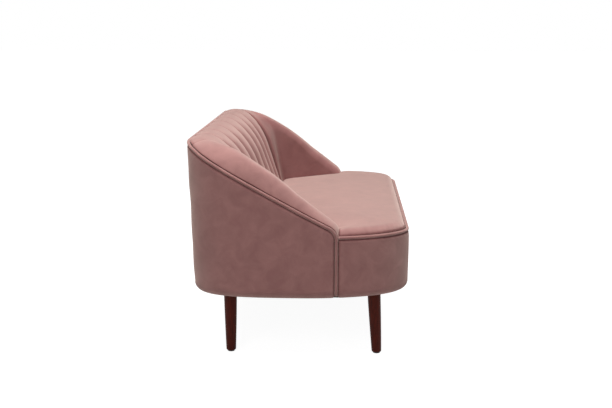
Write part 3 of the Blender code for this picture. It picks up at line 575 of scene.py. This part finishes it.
nose = nose_runs(FRONT_SEAM_ROOM)
end_run = np.concatenate([nose, np.linspace(nose[-1], BACK_RUN - PANEL_GAP, 130)[1:]])
end_cover, end_pile_and_shade = outside_cover(end_run, arm_seam)
for side, name in SIDES:
    piece = surface(
        f"{name}_outside_end", end_cover * (side, 1, 1), rose_velvet, turned_in=side > 0, pile_and_shade=end_pile_and_shade
    )
    shell(piece)
    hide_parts(f"{name}_outside_arm_cover")


def back_seam(run, z):
    """Distance of a place on the outside back from the piping at its top and the upright seam at its end."""
    return np.maximum(np.minimum(BACK_PIPING_HEIGHT - SEAM_ROOM - z, run - BACK_RUN), 0)


beside_seam = fine_from(0.0, SEAM_STRIP, SEAM_STRIP_STEPS, STITCH_STEP)
half_run = np.concatenate([BACK_RUN + beside_seam, np.linspace(BACK_RUN + SEAM_STRIP, MIDDLE_RUN, 60)[1:]])
half_cover, half_pile_and_shade = outside_cover(half_run, back_seam)
piece = surface(
    "outside_back", both_halves(half_cover), rose_velvet, turned_in=True, pile_and_shade=both_halves(half_pile_and_shade, 1)
)
shell(piece)
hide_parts("outside_back_cover")


# Front border
# One strip of velvet over wadding, round the bowed front from arm to arm.
# It is sewn to the seat piping along its top, turned under the front rail and stapled.

SEAT_EDGE_HEIGHT = 0.437
BORDER_SWELL = 0.0010


def front_plan(share, inset):
    """X and Y along the front's right half: share 0 at the arm, 1 at the straight front, 2 at the middle."""
    share, inset = np.broadcast_arrays(share, inset)
    front = FRONT_HALF - inset
    reach = HALF_WIDTH - inset - STRAIGHT_HALF
    turn = math.pi / 2 * np.clip(share, 0, 1)
    y = ARM_FRONT_Y - SEAM_ROOM - (front + ARM_FRONT_Y - SEAM_ROOM) * np.sin(turn)
    ratio = np.clip(np.abs(y) / front, 0, 1)
    x = STRAIGHT_HALF + reach * (1 - ratio ** FRONT_ROUNDNESS) ** (1 / FRONT_ROUNDNESS)
    return np.where(share <= 1, x, STRAIGHT_HALF * (2 - share)), y


def front_border():
    """Points of the strip and how far the pile is brushed down at each of them, drawn as painted shade."""
    share = steps_through(0, (1, 90), (2, 60))
    along = length_along(*front_plan(share, 0.0))[:, None]
    top = SEAT_EDGE_HEIGHT - SEAM_ROOM
    z = fine_from(top, BODY_BOTTOM + HEM_RADIUS, count=60, first_step=0.0006)
    along, z = np.broadcast_arrays(along, z)
    inset, z, pile_and_shade = hung_cloth(along, z, np.minimum(along, top - z), BORDER_SWELL)
    x, y = front_plan(share[:, None], inset)
    return both_halves(np.stack([x, y, z], axis=-1)), both_halves(pile_and_shade, 1)


border, border_pile_and_shade = front_border()
piece = surface("front_border", border, rose_velvet, pile_and_shade=border_pile_and_shade)
shell(piece)
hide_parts("front_border_cover")


# Seat
# A foam block under velvet, crowned in the middle, that fills the tub and wings out before the arms.
# Its cover is sewn to the piping along the front and tucked down beside the arms and the back.

ARM_CREST_HEIGHT = 0.4785
ARM_CREST_SLOPE = 0.762
NOSE_REACH = 0.010
NOSE_RADIUS = 0.020
CREST_SHOULDER = 0.175
CREST_INSET = 0.048
ARM_NARROWING = 0.010
CORNER_WIDENING = 0.0323
WIDENING_RUN = 0.430
WIDENING_SPREAD = 0.10
ROLL_WIDTH_ARM = 0.026
ROLL_WIDTH_BACK = 0.092
ROLL_HEIGHT_ARM = 0.045
ROLL_HEIGHT_BACK = 0.150
ARM_RAKE = 0.16
BACK_RAKE = 0.33
CORNER_SOFTNESS = 0.060
TUCK_HEIGHT = 0.352
SEAT_ROUND = 0.045
FRONT_EDGE_ROUND = 0.030
WING_ROUND = 0.020
SEAT_EDGE_RISE = 0.028
WING_START = 0.90
FACE_START = 0.35
FACE_EASE = 0.07
SEAT_DOME = 0.012
DOME_POWER = 2.2
SEAT_FRONT_START = 0.004
SEAT_SEAM_DROP = 0.001
SEAT_RINGS = 90
SEAT_DRAWN_IN = 0.985
SEAT_UNDER_DROP = 0.020
SEAT_UNDER_SHARE = 0.99
SEAT_MIDDLE_Y = -0.150
SEAT_RAKE = 0.10
RAKE_SOFTNESS = 0.08


def crest_height(run):
    """Height of the padded crest: round the arm's nose, up the arm's slope, then level along the back."""
    sloped = ARM_CREST_HEIGHT + ARM_CREST_SLOPE * run - seam_turn(run + NOSE_REACH, NOSE_RADIUS)
    return smooth_min(TOP_HEIGHT, sloped, CREST_SHOULDER)


def back_share(run):
    """How far a run has left the arm for the back: 0 along the arm, then growing round the corner to 1."""
    return (1 + np.tanh((run - WIDENING_RUN) / WIDENING_SPREAD)) / 2


def roll_height(run):
    """How far the roll comes down from the crest: a little along the arm and a long way along the back."""
    return ROLL_HEIGHT_ARM + (ROLL_HEIGHT_BACK - ROLL_HEIGHT_ARM) * back_share(run)


def crest_inset(run, across, z):
    """Depth of the crest in from the outer skin: less along the arm, more where the roll widens at a corner.

    Across is how far over the roll a point has come. At 1, on the face, the arm's narrowing is gone.
    The widening is whole on the roll and fades down the face, so that the seat's corner stays plain.
    """
    narrowing = ARM_NARROWING * (1 - back_share(run)) * (1 - across)
    low = crest_height(run) - roll_height(run)
    down = np.clip((low - z) / (low - TUCK_HEIGHT), 0, 1)
    at_corner = np.exp(-((run - WIDENING_RUN) / WIDENING_SPREAD) ** 2)
    widening = CORNER_WIDENING * at_corner * (1 - smooth_step(down))
    return CREST_INSET - narrowing + widening


def section_direction(run):
    """Level direction in which the wall's section runs: in from the arm, turning to straight forward."""
    share = np.clip((MIDDLE_RUN - run) / (MIDDLE_RUN - WIDEST_RUN), 0, 1)
    turn = math.pi / 2 * share ** 2
    return -np.sin(turn), -np.cos(turn)


def face_depth(run, inset, across, z):
    """Depth of the padded face in the wall: the arm's rake and the back's rake, joined by a soft corner."""
    level = 1e-4
    down = crest_height(run) - z
    x, y = plan(run, 0.0, z)
    dx, dy = section_direction(run)
    softness = np.maximum(CORNER_SOFTNESS * across, level)
    arm_depth = inset + ROLL_WIDTH_ARM * across + ARM_RAKE * down
    back_depth = inset + ROLL_WIDTH_BACK * across + BACK_RAKE * down
    depth = inset + ROLL_WIDTH_ARM * across
    from_arm = (x - HALF_WIDTH + arm_depth) / np.maximum(np.abs(dx), level)
    from_back = (y - back_line(z) + back_depth) / np.maximum(np.abs(dy), level)
    depth = np.where(np.abs(dx) > level, -smooth_min(-depth, -from_arm, softness), depth)
    return np.where(np.abs(dy) > level, -smooth_min(-depth, -from_back, softness), depth)


def padded_depth(run, z):
    """Depth of the padded wall at a height: on its roll near the crest, on its face below."""
    turned = np.clip((crest_height(run) - z) / roll_height(run), 0, 1)
    across = np.sqrt(1 - (1 - turned) ** 2)
    return face_depth(run, crest_inset(run, across, z), across, z)


def wall_point(run, depth, z):
    """Points at a depth into the wall along its section, on the right half."""
    x, y = plan(run, 0.0, z)
    dx, dy = section_direction(run)
    return np.stack(np.broadcast_arrays(x + dx * depth, y + dy * depth, z), axis=-1)


def seat_outline(z):
    """The seat's plan: the bowed front inside its piping, a short wing, then the faces of arm and back.

    The other results say for each point how round the edge is there and at what share of its rise it starts.
    """
    share = steps_through(2, (1, 100), (SEAT_FRONT_START, 80))
    front = np.stack(front_plan(share, PIPING_INSET + SEAM_ROOM), axis=-1)
    inside_run = steps_through(front[-1, 1] - ARM_FRONT_Y, (BACK_RUN, 130), (MIDDLE_RUN, 50))
    ease = np.exp(-(inside_run - inside_run[0]) / FACE_EASE)
    face_start = FACE_START + (WING_START - FACE_START) * ease
    face = wall_point(inside_run, padded_depth(inside_run, z + SEAT_EDGE_RISE * face_start), z)[:, :2]
    wing = front[-1] + (face[0] - front[-1]) * np.linspace(0, 1, 14)[1:-1, None]
    half = np.concatenate([front, wing, face])
    part_lengths = (len(front), len(wing), len(face))
    edge_round = np.repeat((FRONT_EDGE_ROUND, WING_ROUND, SEAT_ROUND), part_lengths)
    edge_start = np.repeat((0.0, WING_START, FACE_START), part_lengths)
    edge_round[-len(face):] += (WING_ROUND - SEAT_ROUND) * ease
    edge_start[-len(face):] = face_start
    return both_halves(half, (-1, 1))[:-1], both_halves(edge_round, 1)[:-1], both_halves(edge_start, 1)[:-1]


def seat_cushion():
    """The outline drawn in ring by ring: a rounded edge, then a low dome, with small ripples at the seam.

    The second result is how far the pile is brushed down at each point, drawn as painted shade along the sewn
    edge.
    """
    base = SEAT_EDGE_HEIGHT - SEAT_SEAM_DROP
    outline, edge_round, edge_start = seat_outline(base)
    share = 1 - fine_from(0.0, SEAT_DRAWN_IN, SEAT_RINGS, first_step=0.0012)
    middle = np.array((0, SEAT_MIDDLE_Y))
    flat = middle + (outline - middle) * share[:, None, None]
    along = length_along(*outline.T)
    distance = np.empty(flat.shape[:2])
    rise = np.empty(flat.shape[:2])
    for ring, spots in enumerate(flat):
        reach = np.sqrt(((spots[:, None] - outline[None]) ** 2).sum(axis=-1))
        distance[ring] = reach.min(axis=1)
        turned = edge_start + (1 - edge_start) * (1 - seam_turn(reach, edge_round) / edge_round)
        rise[ring] = turned.min(axis=1)
    distance[0] = 0
    rise[0] = edge_start
    dome = 1 - np.clip(1 - distance / distance.max(), 0, 1) ** DOME_POWER
    z = base + SEAT_EDGE_RISE * rise + SEAT_DOME * dome
    z += pucker(along[None], distance)
    z += unevenness(flat[..., 0], flat[..., 1], size=0.23, height=0.0005) * dome
    behind = flat[..., 1] - SEAT_MIDDLE_Y
    z -= SEAT_RAKE * (behind + np.hypot(behind, RAKE_SOFTNESS)) / 2
    top = np.concatenate([flat, z[..., None]], axis=-1)
    under_z = np.full((1, len(outline), 1), base - SEAT_UNDER_DROP)
    under = np.concatenate([flat[:1] * SEAT_UNDER_SHARE, under_z], axis=-1)
    # Painted shade along the sewn edge.
    pile_and_shade = parted_pile_and_seam_shade(np.concatenate([distance[:1], distance]), reach=0.003)
    return np.concatenate([under, top]), pile_and_shade


seat, seat_pile_and_shade = seat_cushion()
piece = surface("seat_cushion", seat, rose_velvet, closed=True, pile_and_shade=seat_pile_and_shade)
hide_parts("seat_cover", "seat_foam")


# Inside arms
# Foam over the arm's frame under velvet, rolled over the top from the piping to the tuck beside the seat.
# The cover is closed by a small rounded facing at the front and sewn to the back along the last channel seam.

NOSE_ROUND = 0.005
NOSE_FOOT = SEAT_EDGE_HEIGHT - 0.006
PAD_EDGE_INSET = 0.0030
PAD_SEAM_ROUND = 0.0050
ROLL_LEAN = 0.60
PAD_SEAM_ROOM = 0.0048
CREST_CLEARANCE = 0.004
CREST_EASINGS = 10
SINK_POWER = 1.6
PAD_FRAME_SIDE = 0.045
PAD_TOP_SIDE = 0.020
BACK_SEAM_REACH = 0.100
ARM_SEAM_GAP = 0.0008
ARM_SEAM_RUN = BACK_RUN - BACK_SEAM_REACH - ARM_SEAM_GAP
ARM_SEAM_ROUND = 0.012
SEAM_FADE = 0.08
# Share of painted shade and lost sheen over the inside arms.
ARM_PILE_AND_SHADE = 0.6
RING_STEPS = 3


def pad_section(run, sunk, fade, groove=0.0):
    """Depths and heights of a padded wall at each run, from the piping over the crest and down to the tuck.

    Sunk takes the surface in: by the fade's share on the top, growing to the whole of it down the roll.
    A groove takes it in by as much everywhere.
    The crest is eased by averaging each point with its neighbours.
    The third result is how far the pile is brushed down, drawn as painted shade: beside the piping, and
    growing down the roll to the whole face.
    """
    tuck_steps = 3
    top_steps = 30
    roll_steps = 40
    face_steps = 39
    run = run[:, None]
    sunk = np.broadcast_to(sunk, run.shape)
    edge = np.maximum(piping_height(run, -PAD_SEAM_ROOM), NOSE_FOOT)
    crest = np.maximum(crest_height(run), edge + CREST_CLEARANCE)
    share = fine_from(0.0, 1.0, top_steps, first_step=0.012)[:-1]
    turn = math.pi / 2 * share
    over = sunk * fade + groove
    z_top = edge + (crest - edge) * np.sin(turn) - over * share
    lean = (1 - np.cos(turn)) ** ROLL_LEAN
    depth_top = PAD_EDGE_INSET + over + (crest_inset(run, 0.0, crest) - PAD_EDGE_INSET - over) * lean
    depth_top = depth_top + seam_turn(z_top - edge, PAD_SEAM_ROUND)
    tuck = np.linspace(0, 1, tuck_steps + 1)[:-1]
    depth_tuck = depth_top[:, :1] + SEAM_ROUND * (1 - tuck)
    z_tuck = z_top[:, :1] - SEAM_ROUND * (1 - tuck) / 2
    turn = np.linspace(0, math.pi / 2, roll_steps)
    across = np.sin(turn)
    down = sunk * (fade + (1 - fade) * across ** SINK_POWER) + groove
    z_roll = crest - roll_height(run) * (1 - np.cos(turn)) - down * np.cos(turn)
    depth_roll = face_depth(run, crest_inset(run, across, z_roll) - down * across, across, z_roll)
    low = z_roll[:, -1:]
    z_face = low + (TUCK_HEIGHT - low) * np.linspace(0, 1, face_steps + 1)[1:]
    depth_face = face_depth(run, crest_inset(run, 1.0, z_face) - sunk - groove, 1.0, z_face)
    depth = np.concatenate([depth_tuck, depth_top, depth_roll, depth_face], axis=1)
    z = np.concatenate([z_tuck, z_top, z_roll, z_face], axis=1)
    first = len(tuck) + len(share) // 2
    last = len(tuck) + len(share) + len(turn) // 2
    for easing in range(CREST_EASINGS):
        for line in (depth, z):
            beside = line[:, first - 1:last - 1] + line[:, first + 1:last + 1]
            line[:, first:last] = (beside + 2 * line[:, first:last]) / 4
    # Painted shade beside the piping, and down the roll and face.
    beside_piping = parted_pile_and_seam_shade(np.concatenate([np.zeros_like(z_tuck), z_top - edge], axis=1))
    on_face = np.concatenate([across ** 2, np.ones(face_steps)])
    pile_and_shade = np.concatenate([beside_piping, np.broadcast_to(on_face, (len(run), len(on_face)))], axis=1)
    return depth, z, pile_and_shade


def padded_ring(run, depth, z):
    """Closes sections behind: from the tuck straight back to the frame and up to the piping."""
    back_z = np.stack([z[:, -1], (z[:, -1] + z[:, 0]) / 2, z[:, 0] - SEAM_ROUND], axis=1)
    back_depth = np.broadcast_to([PAD_FRAME_SIDE, PAD_FRAME_SIDE, PAD_TOP_SIDE], back_z.shape)
    depth = np.concatenate([depth, back_depth], axis=1)
    z = np.concatenate([z, back_z], axis=1)
    return wall_point(run[:, None], depth, z)


def arm_pad():
    """The arm's wall from its nose to the last channel seam, rounded off at both ends.

    The second result is how far the pile is brushed down at each point, drawn as painted shade, darkest down
    the inner face.
    """
    nose_turn = math.pi / 3
    turn = np.linspace(0, nose_turn, 36)
    nose_run = NOSE_RADIUS * (1 - np.cos(turn)) - NOSE_REACH
    nose_sunk = seam_turn(nose_run + NOSE_REACH, NOSE_ROUND)
    seam_run = ARM_SEAM_RUN - beside_seam[::-1]
    seam_sunk = seam_turn(beside_seam[::-1], ARM_SEAM_ROUND)
    middle_run = np.linspace(nose_run[-1], seam_run[0], 130)[1:-1]
    run = np.concatenate([nose_run, middle_run, seam_run])
    sunk = np.concatenate([nose_sunk, np.zeros_like(middle_run), seam_sunk])
    fade = np.where(run < seam_run[0], 1.0, SEAM_FADE)
    depth, z, pile_and_shade = pad_section(run, sunk[:, None], fade[:, None])
    depth = depth - unevenness(run[:, None], z)
    return padded_ring(run, depth, z), np.pad(ARM_PILE_AND_SHADE * pile_and_shade, ((0, 0), (0, RING_STEPS)))


arm, arm_pile_and_shade = arm_pad()
for side, name in SIDES:
    piece = surface(f"{name}_inside_arm", arm * (side, 1, 1), rose_velvet, closed=True, pile_and_shade=arm_pile_and_shade)
    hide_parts(f"{name}_inside_arm_cover", f"{name}_arm_foam", f"{name}_arm_facing")


# Channelled back
# Foam and wadding under velvet sewn in upright channels, from the tuck up over the roll to the piping.
# The seams are deep down the face and fade over the top, and the last ones lie round the corners.

CHANNELS = 8
CHANNEL_DEPTH = 0.022
CHANNEL_FADE = 0.06
ARCH_POWER = 0.55
STITCH_GROOVE = 0.0020
STITCH_WIDTH = 0.004
# Shares of painted shade and lost sheen: on the channels' crowns, and the least anywhere on the back.
CROWN_PILE_AND_SHADE = 0.20
BACK_TOP_PILE_AND_SHADE = 0.08


def channelled_back():
    """The back's wall, taken in at each seam: a channel's crown is a rounded arch between two seams.

    The second result is how far the pile is brushed down at each point, drawn as painted shade: most in the
    grooves at the seams, less on the crowns, a little over the top.
    """
    half_length = STRAIGHT_HALF + BACK_SEAM_REACH
    steps = 34
    crowding = 0.8
    even = np.linspace(0, CHANNELS, CHANNELS * steps + 1)
    count = even - crowding * np.sin(2 * math.pi * even) / (2 * math.pi)
    spot = count / CHANNELS
    phase = count % 1
    arch = np.abs(np.sin(math.pi * phase)) ** ARCH_POWER
    run = MIDDLE_RUN - np.abs(2 * spot - 1) * half_length
    beside = np.minimum(phase, 1 - phase)[:, None] * 2 * half_length / CHANNELS
    groove = STITCH_GROOVE * np.exp(-(beside / STITCH_WIDTH) ** 2)
    depth, z, pile_and_shade = pad_section(run, CHANNEL_DEPTH * (1 - arch)[:, None], CHANNEL_FADE, groove)
    depth = depth + pucker(z, beside, pitch=0.026, height=0.0006, fade=0.020)
    points = padded_ring(run, depth, z)
    points[..., 0] *= np.sign(spot - 0.5)[:, None]
    # Painted shade in the grooves at the seams, less on the crowns, and a little everywhere.
    pile_and_shade = np.maximum(pile_and_shade * (CROWN_PILE_AND_SHADE + (1 - CROWN_PILE_AND_SHADE) * (1 - arch)[:, None]), BACK_TOP_PILE_AND_SHADE)
    return points, np.pad(pile_and_shade, ((0, 0), (0, RING_STEPS)))


back, back_pile_and_shade = channelled_back()
piece = surface("channelled_back", back, rose_velvet, closed=True, pile_and_shade=back_pile_and_shade)
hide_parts("inside_back_channel_cover", "back_foam")


# Piping
# Cord covered in bias-cut velvet, sewn into the seams: one along arms and back, one along the seat's front.
# The first turns down at each arm's nose, runs down the arm's front and is tucked under with the hems.

CORD_START = 0.003


def tube(name, path, outward):
    """A round cord carried along a path, turned so that its first side faces outward."""
    sides = 14
    along = np.gradient(path, axis=0)
    along /= np.linalg.norm(along, axis=1, keepdims=True)
    across = outward - (outward * along).sum(axis=1, keepdims=True) * along
    across /= np.linalg.norm(across, axis=1, keepdims=True)
    up = np.cross(along, across)
    angle = np.linspace(0, 2 * math.pi, sides, endpoint=False)[:, None]
    points = path[:, None] + PIPING_RADIUS * (np.cos(angle) * across[:, None] + np.sin(angle) * up[:, None])
    # The cord gets a little painted shade and less sheen, as a hung cover does.
    piece = surface(name, points, rose_velvet, closed=True, pile_and_shade=HUNG_PILE_AND_SHADE)
    return piece


def wall_piping():
    """The path: from under the hem up the arm's front, round its nose, up its slope and along the back.

    The second result is the way out from the body at each point.
    """
    turn = np.linspace(math.pi / 2, 0, 8)
    hem_inset = PIPING_INSET + HEM_RADIUS * (1 - np.cos(turn))
    hem_z = BODY_BOTTOM + PIPING_RADIUS + (HEM_RADIUS - PIPING_RADIUS) * (1 - np.sin(turn))
    front_z = np.linspace(hem_z[-1], piping_height(np.array(0.0)), 40)[1:-1]
    run = nose_runs(0.0)
    run = np.concatenate([run, np.linspace(run[-1], MIDDLE_RUN, 260)[1:]])
    foot = np.zeros(len(hem_z) + len(front_z))
    inset = np.concatenate([hem_inset, np.full(len(front_z) + len(run), PIPING_INSET)])
    z = np.concatenate([hem_z, front_z, piping_height(run)])
    run = np.concatenate([foot, run])
    x, y = plan(run, inset, z)
    dx, dy = section_direction(run)
    half = np.stack([x, y, z], axis=-1)
    outward = np.stack([-dx, -dy, np.zeros_like(dx)], axis=-1)
    return both_halves(half), both_halves(outward)


def seat_piping():
    """The path along the seat's front edge, from arm to arm, and the way out from the body along it."""
    x, y = front_plan(steps_through(CORD_START, (1, 90), (2, 40)), PIPING_INSET)
    path = both_halves(np.stack([x, y, np.full_like(x, SEAT_EDGE_HEIGHT)], axis=-1))
    along = np.gradient(path, axis=0)
    return path, np.stack([-along[:, 1], along[:, 0], np.zeros(len(path))], axis=-1)


piece = tube("arm_and_back_cord", *wall_piping())
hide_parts("arm_and_back_piping")
piece = tube("seat_cord", *seat_piping())
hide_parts("seat_piping")


# Dust cover
# A sheet of black spun-bonded cloth, cut out round the legs and stapled under the rails last of all.
# Its edge lies over the hems of the covers, and it sags a little between the rails.

DUST_INSET = 0.020
DUST_HOLE_RADIUS = 0.040
DUST_SAG = 0.006
DUST_THICKNESS = 0.0008
STAPLE_PITCH = 0.050
STAPLE_RIPPLE = 0.0006
RIPPLE_POWER = 10


def spun_bonded_cloth():
    """Spun-bonded polypropylene: matt black, with fibres pressed into small dots about 3 mm apart."""
    dot_pitch = 0.003
    made, tree, shader, place = new_material("black_spun_bonded_cloth")
    dots = add(
        tree, "ShaderNodeTexVoronoi", {"Vector": place, "Scale": 1 / dot_pitch, "Randomness": 0.15}
    )
    ramp = add(tree, "ShaderNodeValToRGB", {"Fac": dots.outputs["Distance"]})
    ramp.color_ramp.elements[0].color = linear("#151516")
    ramp.color_ramp.elements[1].color = linear("#29292B")
    bump = add(
        tree, "ShaderNodeBump", {"Height": dots.outputs["Distance"], "Strength": 0.3, "Distance": 0.0003}
    )
    tree.links.new(ramp.outputs["Color"], shader.inputs["Base Color"])
    tree.links.new(bump.outputs["Normal"], shader.inputs["Normal"])
    shader.inputs["Roughness"].default_value = 0.92
    return made


def dust_cloth():
    """The outline inside the hems drawn in ring by ring: level at its edge and lowest in the middle.

    Small ripples between the staples fade away from the edge.
    """
    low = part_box("dust_cover")[0]
    front = front_plan(steps_through(2, (1, 40), (0, 36)), DUST_INSET)
    wall = plan(steps_through(0, (BACK_RUN, 54), (MIDDLE_RUN, 40))[1:], DUST_INSET, BODY_BOTTOM)
    outline = both_halves(np.concatenate([front, wall], axis=1).T, (-1, 1))
    share = np.linspace(1, 0, 60)[:, None]
    along = length_along(*outline.T)
    staples = round(along[-1] / STAPLE_PITCH)
    ripple = STAPLE_RIPPLE * np.sin(2 * math.pi * staples * along / along[-1]) * share ** RIPPLE_POWER
    z = low.z - DUST_SAG * (1 - share ** 2) + ripple
    return np.concatenate([outline * share[..., None], z[..., None]], axis=-1)


def cut_holes(piece, centres, radius):
    """Joins a sheet's edges and cuts round holes: points inside go out to the rim, faces among them go."""
    cloth = bmesh.new()
    cloth.from_mesh(piece.data)
    bmesh.ops.remove_doubles(cloth, verts=cloth.verts, dist=1e-6)
    for centre in centres:
        inside = set()
        for spot in cloth.verts:
            away = spot.co.xy - centre
            if away.length < radius:
                spot.co.xy = centre + away.normalized() * radius
                inside.add(spot)
        within = [face for face in cloth.faces if inside.issuperset(face.verts)]
        bmesh.ops.delete(cloth, geom=within, context="FACES")
    cloth.to_mesh(piece.data)
    cloth.free()


piece = surface("dust_cloth", dust_cloth(), spun_bonded_cloth(), turned_in=True)
plates = [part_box(f"leg_plate_{leg}") for leg in LEGS]
cut_holes(piece, [(low.xy + high.xy) / 2 for low, high in plates], DUST_HOLE_RADIUS)
shell(piece, DUST_THICKNESS)
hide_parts("dust_cover")


# Stage: floor, light and camera
# A plain white floor and surround, a large soft lamp overhead and a weaker one beside the camera.
# The camera looks at the sofa's left end from a little above, as in the photograph.

FLOOR_LIFT = 0.94
LIFT_START = 1.3
LIFT_END = 2.6


def seen_straight(tree):
    """1 on rays from the camera and those that mirror or pass on what it sees, 0 on rays that only light."""
    ray = add(tree, "ShaderNodeLightPath", {})
    kinds = [ray.outputs[f"Is {kind} Ray"] for kind in ("Camera", "Glossy", "Transmission")]
    first = add(tree, "ShaderNodeMath", {0: kinds[0], 1: kinds[1]}, operation="MAXIMUM")
    both = add(tree, "ShaderNodeMath", {0: first.outputs["Value"], 1: kinds[2]}, operation="MAXIMUM")
    return both.outputs["Value"]


def white_floor():
    """A white floor that takes the sofa's soft shadow, lifted towards plain white where it is seen."""
    made, tree, shader, place = new_material("white_floor")
    shader.inputs["Base Color"].default_value = linear("#BFBFBF")
    shader.inputs["Roughness"].default_value = 1.0
    shader.inputs["Specular IOR Level"].default_value = 0.0
    shader.inputs["Emission Color"].default_value = linear("#FFFFFF")
    away = add(tree, "ShaderNodeVectorMath", {0: place}, operation="LENGTH")
    glow = add(
        tree, "ShaderNodeMapRange",
        {"Value": away.outputs["Value"], "From Min": LIFT_START, "From Max": LIFT_END,
         "To Min": FLOOR_LIFT, "To Max": 1.0},
    )
    lift = add(
        tree, "ShaderNodeMath", {0: seen_straight(tree), 1: glow.outputs["Result"]}, operation="MULTIPLY"
    )
    tree.links.new(lift.outputs["Value"], shader.inputs["Emission Strength"])
    return made


def studio_light(name, place, target, size, power):
    """A square soft lamp that faces a target."""
    lamp = bpy.data.lights.new(name, "AREA")
    lamp.size = size
    lamp.energy = power
    made = bpy.data.objects.new(name, lamp)
    made.location = place
    made.rotation_euler = (Vector(target) - Vector(place)).to_track_quat("-Z", "Y").to_euler()
    bpy.context.scene.collection.objects.link(made)


FLOOR_HALF = 30.0
FLOOR_DROP = 0.0005
floor_mesh = bpy.data.meshes.new("floor")
corner_signs = ((-1, -1), (1, -1), (1, 1), (-1, 1))
floor_corners = [(x * FLOOR_HALF, y * FLOOR_HALF, -FLOOR_DROP) for x, y in corner_signs]
floor_mesh.from_pydata(floor_corners, [], [(0, 1, 2, 3)])
floor_mesh.materials.append(white_floor())
floor = bpy.data.objects.new("floor", floor_mesh)
bpy.context.scene.collection.objects.link(floor)

SURROUND_LIGHT = 0.05
world = bpy.data.worlds.new("white_surround")
world.use_nodes = True
sky = world.node_tree.nodes["Background"]
level = add(
    world.node_tree, "ShaderNodeMapRange",
    {"Value": seen_straight(world.node_tree), "To Min": SURROUND_LIGHT, "To Max": 1.0},
)
sky.inputs["Color"].default_value = linear("#FFFFFF")
world.node_tree.links.new(level.outputs["Result"], sky.inputs["Strength"])
bpy.context.scene.world = world

LAMP_TARGET = (0, 0, 0.4)
OVERHEAD_PLACE = (-0.5, 0.0, 3.2)
OVERHEAD_SIZE = 3.0
OVERHEAD_POWER = 128
CAMERA_SIDE_PLACE = (-3.4, 0.6, 1.9)
CAMERA_SIDE_SIZE = 2.2
CAMERA_SIDE_POWER = 19.8
studio_light("overhead_lamp", OVERHEAD_PLACE, LAMP_TARGET, OVERHEAD_SIZE, OVERHEAD_POWER)
studio_light("camera_side_lamp", CAMERA_SIDE_PLACE, LAMP_TARGET, CAMERA_SIDE_SIZE, CAMERA_SIDE_POWER)

IMAGE_WIDTH = 612
FOCAL_PIXELS = 952.3
CAMERA_PLACE = (-3.7251, -0.157, 1.1543)
CAMERA_YAW = 0.0409
CAMERA_TILT = 0.1932
lens = bpy.data.cameras.new("photo_camera")
lens.sensor_width = 36.0
lens.lens = lens.sensor_width * FOCAL_PIXELS / IMAGE_WIDTH
camera = bpy.data.objects.new("photo_camera", lens)
camera.location = CAMERA_PLACE
ahead = Vector((
    math.cos(CAMERA_YAW) * math.cos(CAMERA_TILT),
    math.sin(CAMERA_YAW) * math.cos(CAMERA_TILT),
    -math.sin(CAMERA_TILT),
))
camera.rotation_euler = ahead.to_track_quat("-Z", "Y").to_euler()
bpy.context.scene.collection.objects.link(camera)
bpy.context.scene.camera = camera
bpy.context.scene.view_settings.view_transform = "Standard"
